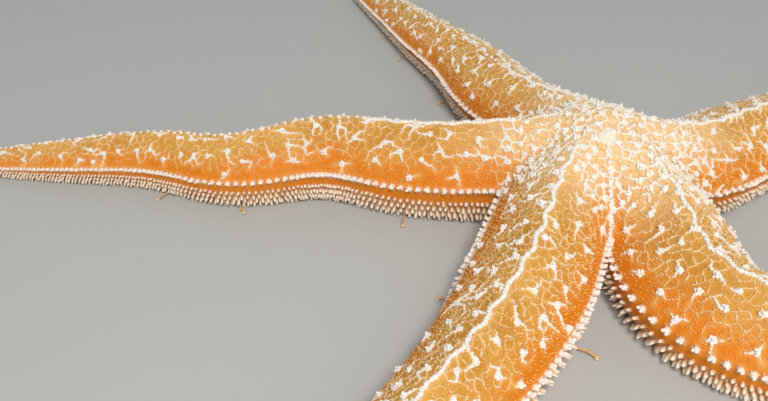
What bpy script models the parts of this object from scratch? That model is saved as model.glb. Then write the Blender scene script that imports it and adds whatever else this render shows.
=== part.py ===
"""A long-armed sea star at life size, lying on a flat floor with its arms gently bent.

Metres, +Z up. Seen from the side that a visitor stands on, +X is to the right and +Y is away.
The origin is the bottom centre of the animal's bounding box. Every arm is one loft along a
course that turns a few degrees at each of six stations, and it is parted into three lengths
with thin cuts. The disc is the meeting of five arm stubs under a low dome. Spines stand in
rows on the back and the margins, and tube feet with suckers line the grooves below.
"""

import math
import random
from dataclasses import dataclass

import bmesh
import bpy
import numpy as np
from mathutils import Matrix, Vector
from mathutils.bvhtree import BVHTree

# Main sizes of the animal
ARM_LENGTH = 0.225
DISC_HEIGHT = 0.0355
DISC_CUT = 0.042
MIDDLE_CUT = 0.097
TIP_CUT = 0.157
END_PLATE_LENGTH = 0.003
END_PLATE_FIT = 0.92
GAP = 0.0003

# Full width and height of an arm at shares of its length from the disc's centre
PROFILE_SHARES = (0.0, 0.12, 0.30, 0.50, 0.70, 0.88, 1.0)
ARM_WIDTHS = (0.0387, 0.0368, 0.0364, 0.0284, 0.0210, 0.0139, 0.0073)
ARM_HEIGHTS = (0.0352, 0.0305, 0.0268, 0.0230, 0.0175, 0.0113, 0.0059)

# One side of an arm's section, as shares of its half width and of its height
RIDGE = (0.0, 1.0)
UPPER_FLANK = (0.42, 0.86)
SHOULDER = (0.80, 0.65)
UPPER_MARGIN = (1.0, 0.46)
LOWER_MARGIN = (0.96, 0.17)
SOLE_EDGE = (0.74, 0.0)
GROOVE_EDGE = (0.28, 0.0)
GROOVE_ROOF = (0.0, 0.24)
FLANK = (UPPER_FLANK, SHOULDER, UPPER_MARGIN, LOWER_MARGIN, SOLE_EDGE)

# Lengthwise steps of the lofts
RING_STEP = 0.010
COURSE_STEP = 0.001
BEND_STATIONS = (0.12, 0.26, 0.40, 0.54, 0.68, 0.82)
BEND_SPREAD = 0.16

# Upturned end of each arm
TIP_LIFT = 0.0025
TIP_LIFT_LENGTH = 0.020

# Underside of the disc
STUB_START = -0.004
SOLE_RISE = 0.002
CUTTER_DEPTH = 0.003
MOUTH_RADIUS = 0.0085
MOUTH_ROOF = 0.0085
MOUTH_THICKNESS = 0.0028
MOUTH_DIMPLE_RADIUS = 0.0040
MOUTH_DIMPLE_DEPTH = 0.0016
MOUTH_SIDES = 20

# Dome over the middle of the disc
DOME_RADIUS = 0.024
DOME_REACH = 0.030
DOME_POWER = 3.0
DOME_STEPS = 16
DOME_RINGS = 4

# Sieve plate, a low button let into the top of the disc
SIEVE_RADIUS = 0.0026
SIEVE_HEIGHT = 0.0016
SIEVE_SOCKET_DEPTH = 0.0008
SIEVE_BEARING = 259.0
SIEVE_DISTANCE = 0.0100
SIEVE_SIDES = 16

# Spines and tube feet
SPINE_ROOT = 0.0013
SPINE_CLEARANCE = 0.0007
SHORTEST_SPINE = 0.0010
SMALLEST_SCALE = 0.5
SPINE_SEED = 5
FIRST_SPINE = 0.010
SIZE_SPREAD = 0.1
RISE_SPREAD = 4.0
DISC_RING_SPREAD = 0.08
DISC_TURN_SPREAD = 0.25
FOOT_SIDES = 5
FOOT_SPACING = 0.0130
FOOT_START = 0.016
FOOT_RADIUS = 0.0008
SUCKER_RADIUS = 0.00125
SUCKER_HEIGHT = 0.0010
FOOT_CLEARANCE = 0.0002
FOOT_PLACE = 0.5
FOOT_MARGIN = 0.0018
FULL_FOOT_GROOVE = 0.0045
FOOT_ROOT = 0.0011

SKIN_COLOUR = (0.75, 0.30, 0.07, 1.0)
PALE_COLOUR = (0.80, 0.66, 0.52, 1.0)
MOUTH_COLOUR = (0.72, 0.52, 0.38, 1.0)
ROUGHNESS = 0.5


@dataclass(frozen=True)
class Arm:
    """How one arm leaves the disc, how far it turns at each station, in degrees, and its build.

    The width and the height are factors on the sizes that all arms share. The lean moves the
    section to the left, or to the right below 0, by that many metres for each metre of height.
    """

    name: str
    bearing: float
    bends: tuple
    width: float
    height: float
    lean: float


@dataclass(frozen=True)
class Spine:
    """Free length, radii and number of sides of a spine where the arm is widest."""

    length: float
    root_radius: float
    tip_radius: float
    sides: int


@dataclass(frozen=True)
class Row:
    """A row of spines along an arm.

    The place is a share of the way from the ridge down to the upper margin, or past 1 down to
    the lower margin. The rise is the spines' angle over the floor, or none where they stand
    square to the skin. The stagger moves every second spine across the row, in shares.
    """

    place: float
    spacing: float
    stagger: float
    rise: float | None
    spine: Spine


RIDGE_SPINE = Spine(0.0022, 0.0011, 0.0006, 4)
BACK_SPINE = Spine(0.0018, 0.0010, 0.0005, 3)
UPPER_SPINE = Spine(0.0026, 0.0010, 0.0005, 3)
LOWER_SPINE = Spine(0.0038, 0.0009, 0.0, 3)

RIDGE_ROW = Row(0.0, 0.0120, 0.06, None, RIDGE_SPINE)
SIDE_ROWS = (
    Row(0.34, 0.0190, 0.10, None, BACK_SPINE),
    Row(0.68, 0.0190, 0.12, None, BACK_SPINE),
    Row(1.00, 0.0098, 0.00, 12.0, UPPER_SPINE),
    Row(2.00, 0.0098, 0.00, -22.0, LOWER_SPINE),
)

# Radius of each ring of spines on the disc, and how many stand in it
DISC_RINGS = ((0.006, 5), (0.0125, 10), (0.0185, 14), (0.0245, 18))


ARMS = (
    Arm("left", 171.8, (3.7, -16.5, 39.9, -39.3, 19.0, -1.9), 0.83, 0.99, -0.07),
    Arm("front_left", 229.8, (18.8, -10.4, -8.6, 0.2, 0.1, 0.0), 0.93, 1.04, 0.03),
    Arm("front_right", 301.4, (-31.0, 58.8, 16.2, 4.5, 1.3, 0.5), 1.04, 0.89, 0.09),
    Arm("right", 10.3, (23.6, -4.5, 2.2, 0.6, 0.2, 0.1), 1.04, 0.97, -0.15),
    Arm("back", 93.9, (29.6, -15.9, 13.0, -5.8, 1.0, 0.0), 1.00, 0.94, 0.24),
)


def smoothstep(value):
    """Eases from 0 to 1 as the value goes from 0 to 1."""
    clamped = min(max(value, 0.0), 1.0)
    return clamped * clamped * (3.0 - 2.0 * clamped)


def along_profile(sizes, share):
    """Reads a size at a share of an arm's length, on a smooth curve through the given sizes."""
    shares = PROFILE_SHARES
    place = min(max(share, shares[0]), shares[-1])
    last = len(shares) - 2
    index = min(sum(place >= edge for edge in shares[1:-1]), last)
    span = shares[index + 1] - shares[index]
    local = (place - shares[index]) / span
    slopes = []
    for knot in (index, index + 1):
        before = max(knot - 1, 0)
        after = min(knot + 1, last + 1)
        slopes.append((sizes[after] - sizes[before]) / (shares[after] - shares[before]) * span)
    eased = local * local * (3.0 - 2.0 * local)
    level = sizes[index] * (1.0 - eased) + sizes[index + 1] * eased
    start_pull = slopes[0] * local * (1.0 - local) ** 2
    end_pull = slopes[1] * local ** 2 * (1.0 - local)
    return level + start_pull - end_pull


class Course:
    """The line on the floor that an arm follows, from the disc's centre outwards."""

    def __init__(self, arm):
        self.arm = arm
        self.stations = np.arange(STUB_START, ARM_LENGTH + COURSE_STEP, COURSE_STEP)
        self.headings = np.array([self.heading(station) for station in self.stations])
        centre = int(np.argmin(np.abs(self.stations)))
        middles = (self.headings[1:] + self.headings[:-1]) / 2
        steps = np.diff(self.stations)
        xs = np.concatenate(([0.0], np.cumsum(np.cos(middles) * steps)))
        ys = np.concatenate(([0.0], np.cumsum(np.sin(middles) * steps)))
        self.xs = xs - xs[centre]
        self.ys = ys - ys[centre]

    def heading(self, station):
        """The direction of growth at a distance from the disc's centre, in radians."""
        share = station / ARM_LENGTH
        turned = self.arm.bearing
        for bend, place in zip(self.arm.bends, BEND_STATIONS):
            turned += bend * smoothstep((share - place) / BEND_SPREAD + 0.5)
        return math.radians(turned)

    def own(self, factor, station):
        """A factor of this arm's own, which grows in over the disc."""
        return 1.0 + (factor - 1.0) * smoothstep(station / DISC_CUT)

    def half_width(self, station):
        """Half the arm's full width there."""
        shared = along_profile(ARM_WIDTHS, station / ARM_LENGTH) / 2
        return shared * self.own(self.arm.width, station)

    def height(self, station):
        """The ridge's height over the sole there."""
        shared = along_profile(ARM_HEIGHTS, station / ARM_LENGTH)
        return shared * self.own(self.arm.height, station)

    def shift(self, station, up_share):
        """How far to the left the lean moves the section at a share of its height."""
        lean = self.arm.lean * smoothstep(station / DISC_CUT)
        return lean * up_share * self.height(station)

    def sole(self, station):
        """The sole's height over the floor: raised at the mouth and at the upturned tip."""
        under_disc = SOLE_RISE * (1.0 - min(station / DISC_CUT, 1.0))
        tip_start = ARM_LENGTH - TIP_LIFT_LENGTH
        return under_disc + TIP_LIFT * smoothstep((station - tip_start) / TIP_LIFT_LENGTH)

    def forward(self, station):
        """The unit vector along the arm."""
        heading = self.heading(station)
        return Vector((math.cos(heading), math.sin(heading), 0.0))

    def leftward(self, station):
        """The unit vector to the left of the arm."""
        ahead = self.forward(station)
        return Vector((-ahead.y, ahead.x, 0.0))

    def centre(self, station):
        """The point of the course on the floor."""
        x = float(np.interp(station, self.stations, self.xs))
        y = float(np.interp(station, self.stations, self.ys))
        return Vector((x, y, 0.0))

    def place(self, station, side, up):
        """A point of the section there, from metres to the left and metres over the floor."""
        return self.centre(station) + self.leftward(station) * side + Vector((0.0, 0.0, up))

    def on_section(self, station, share, sign=1.0):
        """A point of the section, from shares of the half width and of the height."""
        side = sign * share[0] * self.half_width(station) + self.shift(station, share[1])
        return self.place(station, side, self.sole(station) + share[1] * self.height(station))

    def ring(self, station, grooved=True):
        """The section's corners in order round the arm."""
        left = [self.on_section(station, share) for share in FLANK]
        right = [self.on_section(station, share, -1.0) for share in reversed(FLANK)]
        groove = []
        if grooved:
            groove = [
                self.on_section(station, GROOVE_EDGE),
                self.on_section(station, GROOVE_ROOF),
                self.on_section(station, GROOVE_EDGE, -1.0),
            ]
        return [self.on_section(station, RIDGE), *left, *groove, *right]

    def on_flank(self, station, place, sign):
        """A point down the flank from the ridge, and the direction square to the skin there."""
        line = (RIDGE, UPPER_FLANK, SHOULDER, UPPER_MARGIN)
        if place > 1.0:
            line = (UPPER_MARGIN, LOWER_MARGIN)
            place -= 1.0
        along = place * (len(line) - 1)
        index = min(int(along), len(line) - 2)
        local = along - index
        first, second = line[index], line[index + 1]
        share = [a + (b - a) * local for a, b in zip(first, second)]
        point = self.on_section(station, share, sign)
        run = self.on_section(station, second, sign) - self.on_section(station, first, sign)
        square = self.forward(station).cross(run) * sign
        return point, square.normalized()

    def rings(self, start, end, grooved=True):
        """The sections from one cut to the next, each end face half a gap clear of its cut."""
        stations = stations_between(start, end)
        made = [self.ring(station, grooved) for station in stations]
        for index, sign in ((0, 1.0), (-1, -1.0)):
            inward = self.forward(stations[index]) * (sign * GAP / 2)
            made[index] = [corner + inward for corner in made[index]]
        return made

    def groove_ring(self, station):
        """The corners of a cutter that opens the groove from below the floor up to its roof."""
        edge = GROOVE_EDGE[0] * self.half_width(station)
        roof = self.sole(station) + GROOVE_ROOF[1] * self.height(station)
        wide = edge * (roof + CUTTER_DEPTH) / (roof - self.sole(station))
        return [
            self.place(station, self.shift(station, GROOVE_ROOF[1]), roof),
            self.place(station, wide, -CUTTER_DEPTH),
            self.place(station, -wide, -CUTTER_DEPTH),
        ]


def stations_between(start, end):
    """Even steps from one station to another, both included."""
    count = max(round((end - start) / RING_STEP), 1)
    return [start + (end - start) * step / count for step in range(count + 1)]


def material(name, colour):
    """A plain finish in one colour."""
    made = bpy.data.materials.new(name)
    made.use_nodes = True
    surface = made.node_tree.nodes["Principled BSDF"]
    surface.inputs["Base Color"].default_value = colour
    surface.inputs["Roughness"].default_value = ROUGHNESS
    surface.inputs["Metallic"].default_value = 0.0
    return made


def object_from(bm, name):
    """Turns a finished bmesh into a linked object."""
    bmesh.ops.recalc_face_normals(bm, faces=bm.faces)
    mesh = bpy.data.meshes.new(name)
    bm.to_mesh(mesh)
    bm.free()
    made = bpy.data.objects.new(name, mesh)
    bpy.context.scene.collection.objects.link(made)
    return made


def loft(name, rings):
    """A closed body through matching rings of points."""
    bm = bmesh.new()
    loops = []
    for points in rings:
        corners = [bm.verts.new(point) for point in points]
        following = corners[1:] + corners[:1]
        loops.append([bm.edges.new(pair) for pair in zip(corners, following)])
    for near, far in zip(loops, loops[1:]):
        bmesh.ops.bridge_loops(bm, edges=near + far)
    for end in (loops[0], loops[-1]):
        bmesh.ops.contextual_create(bm, geom=end)
    return object_from(bm, name)


def turned(name, profile, steps, placing):
    """A closed body of revolution about Z, from (radius, height) points, then placed."""
    bm = bmesh.new()
    corners = [bm.verts.new((radius, 0.0, height)) for radius, height in profile]
    edges = [bm.edges.new(pair) for pair in zip(corners, corners[1:])]
    bmesh.ops.spin(
        bm,
        geom=corners + edges,
        axis=(0.0, 0.0, 1.0),
        cent=(0.0, 0.0, 0.0),
        angle=math.tau,
        steps=steps,
        use_merge=True,
    )
    bmesh.ops.remove_doubles(bm, verts=bm.verts, dist=1e-6)
    bmesh.ops.transform(bm, matrix=placing, verts=bm.verts)
    return object_from(bm, name)


def keep_largest(target):
    """Drops every closed surface of the object but the largest."""
    bm = bmesh.new()
    bm.from_mesh(target.data)
    unseen = set(bm.faces)
    shells = []
    while unseen:
        shell = set()
        front = [unseen.pop()]
        while front:
            face = front.pop()
            shell.add(face)
            neighbours = {other for edge in face.edges for other in edge.link_faces}
            fresh = neighbours & unseen
            unseen -= fresh
            front.extend(fresh)
        shells.append(shell)
    largest = max(shells, key=lambda shell: sum(face.calc_area() for face in shell))
    loose = [face for face in bm.faces if face not in largest]
    bmesh.ops.delete(bm, geom=loose, context="FACES")
    bm.to_mesh(target.data)
    bm.free()


def combine(target, others, operation):
    """Joins closed bodies to the target, or cuts them from it, and removes them."""
    group = bpy.data.collections.new(target.name + "_pieces")
    bpy.context.scene.collection.children.link(group)
    for other in others:
        group.objects.link(other)
    modifier = target.modifiers.new("combine", "BOOLEAN")
    modifier.operation = operation
    modifier.operand_type = "COLLECTION"
    modifier.collection = group
    modifier.solver = "MANIFOLD"
    graph = bpy.context.evaluated_depsgraph_get()
    target.data = bpy.data.meshes.new_from_object(target.evaluated_get(graph))
    target.modifiers.clear()
    for other in others:
        bpy.data.objects.remove(other)
    bpy.data.collections.remove(group)
    keep_largest(target)


def spine_scale(course, station):
    """How large the spines are there, beside those at the arm's base."""
    share = course.half_width(station) / course.half_width(DISC_CUT)
    return SMALLEST_SCALE + (1.0 - SMALLEST_SCALE) * share


def make_spine(spine, scale, length, point, direction):
    """One tapering spine, its root sunk into the skin."""
    bm = bmesh.new()
    sunk = length + SPINE_ROOT
    middle = point + direction * (length - sunk / 2)
    turn = Vector((0.0, 0.0, 1.0)).rotation_difference(direction).to_matrix().to_4x4()
    bmesh.ops.create_cone(
        bm,
        cap_ends=True,
        segments=spine.sides,
        radius1=spine.root_radius * scale,
        radius2=spine.tip_radius * scale,
        depth=sunk,
        matrix=Matrix.Translation(middle) @ turn,
    )
    return object_from(bm, "spine")


def grow_spine(spine, scale, point, direction, rivals, others):
    """A spine cut short of its neighbours, or nothing where there is no room.

    It reaches less than half way to another arm, and keeps clear of every other piece.
    """
    length = spine.length * scale
    for tree in rivals:
        room = tree.find_nearest(point)[3]
        length = min(length, (room - SPINE_CLEARANCE) / 2)
    if length < SHORTEST_SPINE:
        return None
    reach = spine.root_radius * scale + SPINE_CLEARANCE
    for height in (0.0, length / 2, length):
        spot = point + direction * height
        if any(tree.find_nearest(spot)[3] < reach for tree in others):
            return None
    return make_spine(spine, scale, length, point, direction)


def make_foot(point, scale):
    """One tube foot hanging to the floor, with a flared sucker."""
    radius = FOOT_RADIUS * scale
    sucker = SUCKER_RADIUS * scale
    profile = [
        (0.0, FOOT_CLEARANCE),
        (sucker, FOOT_CLEARANCE),
        (radius, FOOT_CLEARANCE + SUCKER_HEIGHT * scale),
        (radius, point.z + FOOT_ROOT),
        (0.0, point.z + FOOT_ROOT),
    ]
    return turned("foot", profile, FOOT_SIDES, Matrix.Translation((point.x, point.y, 0.0)))


def make_arm_length(course, part, start, end):
    """One length of an arm, with a flat face at each end."""
    return loft(f"arm_{course.arm.name}_{part}", course.rings(start, end))


def row_spine(course, row, station, sign, flip, draw):
    """Where one spine of a row stands, and which way it points."""
    across = row.stagger * draw.uniform(0.5, 1.0)
    side = sign if row.place else flip
    place = row.place + flip * across if row.place else across
    point, direction = course.on_flank(station, place, side)
    if row.rise is not None:
        rise = math.radians(row.rise + draw.uniform(-RISE_SPREAD, RISE_SPREAD))
        outward = course.leftward(station) * side
        direction = outward * math.cos(rise) + Vector((0.0, 0.0, math.sin(rise)))
    return point, direction


def arm_spines(course, start, end, rivals, others, draw):
    """The spines of one stretch of an arm, row by row."""
    rows = [(RIDGE_ROW, 1.0)]
    rows += [(row, sign) for row in SIDE_ROWS for sign in (1.0, -1.0)]
    spines = []
    for row, sign in rows:
        station = FIRST_SPINE + row.spacing * draw.uniform(0.0, 0.5)
        flip = 1.0
        while station < end:
            scale = spine_scale(course, station)
            if station > start:
                point, direction = row_spine(course, row, station, sign, flip, draw)
                size = scale * draw.uniform(1.0 - SIZE_SPREAD, 1.0 + SIZE_SPREAD)
                spine = grow_spine(row.spine, size, point, direction, rivals, others)
                if spine:
                    spines.append(spine)
            flip = -flip
            station += row.spacing * (1.0 + scale) / 2
    return spines


def arm_feet(course, start, end):
    """The tube feet of one stretch of an arm, on the two sides of its groove in turn."""
    feet = []
    station = FOOT_START
    side = 1.0
    while station < end - FOOT_MARGIN:
        half_groove = GROOVE_EDGE[0] * course.half_width(station)
        scale = min(1.0, half_groove / FULL_FOOT_GROOVE)
        if station > start + FOOT_MARGIN:
            up_share = GROOVE_ROOF[1] * (1.0 - FOOT_PLACE)
            across = side * FOOT_PLACE * half_groove + course.shift(station, up_share)
            up = course.sole(station) + up_share * course.height(station)
            point = course.place(station, across, up)
            feet.append(make_foot(point, scale))
        side = -side
        station += FOOT_SPACING * (1.0 + scale) / 2
    return feet


def disc_spines(tree, others, draw):
    """Rings of spines over the top of the disc, set square to the skin."""
    spines = []
    for radius, count in DISC_RINGS:
        turn = draw.uniform(0.0, math.tau)
        for index in range(count):
            shift = draw.uniform(-DISC_TURN_SPREAD, DISC_TURN_SPREAD)
            angle = turn + math.tau * (index + shift) / count
            reach = radius * draw.uniform(1.0 - DISC_RING_SPREAD, 1.0 + DISC_RING_SPREAD)
            above = Vector((math.cos(angle) * reach, math.sin(angle) * reach, 2 * DISC_HEIGHT))
            point, square, _, _ = tree.ray_cast(above, Vector((0.0, 0.0, -1.0)))
            if point is None:
                continue
            size = draw.uniform(1.0 - SIZE_SPREAD, 1.0 + SIZE_SPREAD)
            spine = grow_spine(BACK_SPINE, size, point, square, [], others)
            if spine:
                spines.append(spine)
    return spines


def surface(made):
    """A search tree over an object's faces."""
    bm = bmesh.new()
    bm.from_mesh(made.data)
    tree = BVHTree.FromBMesh(bm)
    bm.free()
    return tree


def make_end_plate(course):
    """The small blunt plate that closes the tip of an arm."""
    station = ARM_LENGTH - END_PLATE_LENGTH
    half_width = course.half_width(station)
    half_height = course.height(station) / 2
    middle = course.place(station, course.shift(station, 0.5), course.sole(station) + half_height)
    bm = bmesh.new()
    bmesh.ops.create_uvsphere(bm, u_segments=10, v_segments=6, radius=1.0)
    bmesh.ops.bisect_plane(
        bm,
        geom=bm.verts[:] + bm.edges[:] + bm.faces[:],
        plane_co=(0.0, 0.0, 0.0),
        plane_no=(0.0, 0.0, -1.0),
        clear_outer=True,
    )
    rim = [edge for edge in bm.edges if edge.is_boundary]
    bmesh.ops.contextual_create(bm, geom=rim)
    axes = Matrix((course.leftward(station), Vector((0.0, 0.0, 1.0)), course.forward(station)))
    sizes = Matrix.Diagonal((half_width * END_PLATE_FIT, half_height * END_PLATE_FIT, END_PLATE_LENGTH))
    turn = (axes.transposed() @ sizes).to_4x4()
    place = Matrix.Translation(middle + course.forward(station) * (GAP / 2))
    bmesh.ops.transform(bm, matrix=place @ turn, verts=bm.verts)
    return object_from(bm, f"end_plate_{course.arm.name}")


def make_disc(courses):
    """The disc: five stubs and a dome, opened below by the grooves and the mouth."""
    stubs = []
    cutters = []
    for course in courses:
        rings = course.rings(STUB_START, DISC_CUT, grooved=False)
        stubs.append(loft(f"stub_{course.arm.name}", rings))
        steps = stations_between(COURSE_STEP, DISC_CUT + COURSE_STEP)
        cutter_rings = [course.groove_ring(s) for s in steps]
        cutters.append(loft(f"groove_{course.arm.name}", cutter_rings))
    floor = SOLE_RISE + COURSE_STEP
    profile = [(0.0, DISC_HEIGHT)]
    for step in range(1, DOME_RINGS + 1):
        radius = DOME_RADIUS * step / DOME_RINGS
        profile.append((radius, dome_height(radius)))
    profile += [(DOME_RADIUS, floor), (0.0, floor)]
    disc = turned("disc", profile, DOME_STEPS, Matrix())
    combine(disc, stubs, "UNION")
    mouth_profile = [
        (0.0, -CUTTER_DEPTH),
        (MOUTH_RADIUS, -CUTTER_DEPTH),
        (MOUTH_RADIUS, MOUTH_ROOF),
        (0.0, MOUTH_ROOF),
    ]
    cutters.append(turned("mouth_cutter", mouth_profile, MOUTH_SIDES, Matrix()))
    socket_profile = [
        (0.0, -SIEVE_SOCKET_DEPTH),
        (SIEVE_RADIUS + GAP, -SIEVE_SOCKET_DEPTH),
        (SIEVE_RADIUS + GAP, SIEVE_HEIGHT * 2),
        (0.0, SIEVE_HEIGHT * 2),
    ]
    cutters.append(turned("socket_cutter", socket_profile, SIEVE_SIDES, sieve_placing()))
    combine(disc, cutters, "DIFFERENCE")
    return disc


def dome_height(radius):
    """The height of the dome over the floor at a distance from its centre."""
    return DISC_HEIGHT * (1.0 - (radius / DOME_REACH) ** DOME_POWER)


def sieve_placing():
    """Puts the sieve plate's own frame on the dome, with Z along the dome's normal."""
    bearing = math.radians(SIEVE_BEARING)
    outward = Vector((math.cos(bearing), math.sin(bearing), 0.0))
    drop = dome_height(SIEVE_DISTANCE) - dome_height(SIEVE_DISTANCE + COURSE_STEP)
    normal = (outward * drop + Vector((0.0, 0.0, COURSE_STEP))).normalized()
    foot = outward * SIEVE_DISTANCE + Vector((0.0, 0.0, dome_height(SIEVE_DISTANCE)))
    turn = Vector((0.0, 0.0, 1.0)).rotation_difference(normal).to_matrix().to_4x4()
    return Matrix.Translation(foot) @ turn


def make_sieve_plate():
    """The round, slightly domed sieve plate in its socket."""
    floor = GAP - SIEVE_SOCKET_DEPTH
    top = floor + SIEVE_HEIGHT
    profile = [
        (0.0, floor),
        (SIEVE_RADIUS, floor),
        (SIEVE_RADIUS, top * 0.35),
        (SIEVE_RADIUS * 0.8, top * 0.8),
        (0.0, top),
    ]
    return turned("madreporite", profile, SIEVE_SIDES, sieve_placing())


def make_mouth():
    """The round skin about the mouth, with a dimple in the middle of its lower face."""
    roof = MOUTH_ROOF - GAP
    radius = MOUTH_RADIUS - GAP
    base = roof - MOUTH_THICKNESS
    profile = [
        (0.0, roof),
        (radius, roof),
        (radius, base),
        (MOUTH_DIMPLE_RADIUS, base),
        (0.0, base + MOUTH_DIMPLE_DEPTH),
    ]
    return turned("mouth", profile, MOUTH_SIDES, Matrix())


def finish(made, colour):
    """Gives an object a material of its own, and round shading with crisp edges."""
    made.data.materials.clear()
    made.data.materials.append(material(made.name, colour))
    made.data.shade_smooth()
    made.data.set_sharp_from_angle(angle=math.radians(40.0))


def stand_on_origin(pieces):
    """Hangs the pieces on an empty, so that their box stands centred on the origin."""
    corners = [piece.matrix_world @ v.co for piece in pieces for v in piece.data.vertices]
    low = [min(corner[axis] for corner in corners) for axis in range(3)]
    high = [max(corner[axis] for corner in corners) for axis in range(3)]
    holder = bpy.data.objects.new("sea_star", None)
    bpy.context.scene.collection.objects.link(holder)
    holder.location = (-(low[0] + high[0]) / 2, -(low[1] + high[1]) / 2, -low[2])
    for piece in pieces:
        piece.parent = holder


def main():
    """Builds the whole animal."""
    for old in list(bpy.data.objects):
        bpy.data.objects.remove(old)
    courses = [Course(arm) for arm in ARMS]
    cuts = (DISC_CUT, MIDDLE_CUT, TIP_CUT, ARM_LENGTH - END_PLATE_LENGTH)
    disc = make_disc(courses)
    sieve_plate = make_sieve_plate()
    mouth = make_mouth()
    stretches = []
    plates = []
    for course in courses:
        for part, start, end in zip(("base", "middle", "tip"), cuts, cuts[1:]):
            stretches.append((course, start, end, make_arm_length(course, part, start, end)))
        plates.append(make_end_plate(course))
    trees = {made: surface(made) for made in (disc, sieve_plate, *plates)}
    trees |= {made: surface(made) for _, _, _, made in stretches}
    draw = random.Random(SPINE_SEED)
    for course, start, end, made in stretches:
        others = [tree for other, tree in trees.items() if other is not made]
        own = {piece for arm, _, _, piece in stretches if arm is course}
        rivals = [trees[piece] for _, _, _, piece in stretches if piece not in own]
        grown = arm_spines(course, start, end, rivals, others, draw)
        combine(made, grown + arm_feet(course, start, end), "UNION")
        finish(made, SKIN_COLOUR)
    others = [tree for other, tree in trees.items() if other is not disc]
    grown = disc_spines(trees[disc], others, draw)
    for course in courses:
        grown += arm_feet(course, 0.0, DISC_CUT)
    combine(disc, grown, "UNION")
    finish(disc, SKIN_COLOUR)
    for made in (sieve_plate, *plates):
        finish(made, PALE_COLOUR)
    finish(mouth, MOUTH_COLOUR)
    stand_on_origin([disc, sieve_plate, mouth, *plates, *(made for _, _, _, made in stretches)])


if __name__ == "__main__":
    main()
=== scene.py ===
"""The looks of a long-armed sea star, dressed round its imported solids.

Metres, +Z up, in the frame of the solids. One soft skin stands for the flesh of the disc and
the arms. A net of pale ridges lies over its back, with white spines in rows and clusters on
it, soft gills between them, and tube feet in the grooves below.
"""

import logging
import math
from collections import defaultdict
from collections.abc import Sequence
from dataclasses import dataclass, field
from enum import Enum
from itertools import combinations

import bmesh
import bpy
import numpy as np
from mathutils import Matrix, Vector
from mathutils.bvhtree import BVHTree
from mathutils.kdtree import KDTree


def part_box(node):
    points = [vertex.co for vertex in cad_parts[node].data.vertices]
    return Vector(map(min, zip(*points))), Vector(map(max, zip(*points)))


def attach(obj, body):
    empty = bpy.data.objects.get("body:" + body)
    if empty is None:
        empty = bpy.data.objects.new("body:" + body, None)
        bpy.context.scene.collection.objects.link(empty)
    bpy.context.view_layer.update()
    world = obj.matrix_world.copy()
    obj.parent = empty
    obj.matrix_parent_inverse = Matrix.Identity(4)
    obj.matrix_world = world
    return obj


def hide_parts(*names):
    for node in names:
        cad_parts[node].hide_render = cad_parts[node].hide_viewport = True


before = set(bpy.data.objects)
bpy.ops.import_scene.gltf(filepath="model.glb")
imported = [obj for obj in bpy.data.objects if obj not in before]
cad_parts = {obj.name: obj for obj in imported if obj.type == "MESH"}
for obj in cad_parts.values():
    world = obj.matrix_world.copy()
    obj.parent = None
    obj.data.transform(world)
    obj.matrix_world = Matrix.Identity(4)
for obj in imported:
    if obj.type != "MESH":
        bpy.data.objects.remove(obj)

log = logging.getLogger("sea_star")
Array = np.ndarray
Colour = tuple[float, float, float, float]
UP = np.array([0.0, 0.0, 1.0])
BODY = "root"
BAKE_MAP = "OFBake"
PATCH = 0.003
STRIP_SHARE = 0.46
PIECE_LIMIT = 190_000
NET_SEED = 11
COAT_SEED = 23
BONE_SOFTNESS = (0.0015, 0.0010, 0.0006)
FLESH_SOFTNESS = (0.0020, 0.0012, 0.0006)


def smoothstep(value: Array) -> Array:
    """Eases from 0 to 1 as the value goes from 0 to 1."""
    clamped = np.clip(value, 0.0, 1.0)
    return clamped * clamped * (3.0 - 2.0 * clamped)


def unit(vectors: Array) -> Array:
    """Vectors of the same directions, each of length 1."""
    return vectors / np.maximum(np.linalg.norm(vectors, axis=-1, keepdims=True), 1e-12)


def hermite(knots: Array, sizes: Array, places: Array) -> Array:
    """Reads a smooth curve through sizes at knots.

    Args:
        knots: Rising places of the sizes.
        sizes: The size at each knot.
        places: Where the curve is read, held inside the knots.

    Returns:
        The size at each place.
    """
    knots, sizes = np.asarray(knots, float), np.asarray(sizes, float)
    places = np.clip(places, knots[0], knots[-1])
    index = np.clip(np.searchsorted(knots, places, side="right") - 1, 0, len(knots) - 2)
    before = np.maximum(np.arange(len(knots)) - 1, 0)
    after = np.minimum(np.arange(len(knots)) + 1, len(knots) - 1)
    slopes = (sizes[after] - sizes[before]) / (knots[after] - knots[before])
    span = knots[index + 1] - knots[index]
    local = (places - knots[index]) / span
    eased = local * local * (3.0 - 2.0 * local)
    level = sizes[index] * (1.0 - eased) + sizes[index + 1] * eased
    start_pull = slopes[index] * span * local * (1.0 - local) ** 2
    end_pull = slopes[index + 1] * span * local**2 * (1.0 - local)
    return level + start_pull - end_pull


# The plan of the animal


@dataclass(frozen=True)
class ArmPlan:
    """How one arm leaves the disc, how far it turns at each station, in degrees, and its build.

    The width and the height are factors on the sizes that all arms share. The lean moves the
    section to the left by that many metres for each metre of height. The white band on the
    ridge begins at one station and is broken up into dots from another. The upper rows climb
    on to the disc up to a girth, on the arm's left and on its right. The margins hang lower and
    fold their spines down where their drop is more than none, again on the left and the right.
    """

    name: str
    bearing: float
    bends: tuple[float, ...]
    width: float
    height: float
    lean: float
    band_start: float
    band_break: float
    climbs: tuple[float, float]
    drops: tuple[float, float] = (0.0, 0.0)


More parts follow.
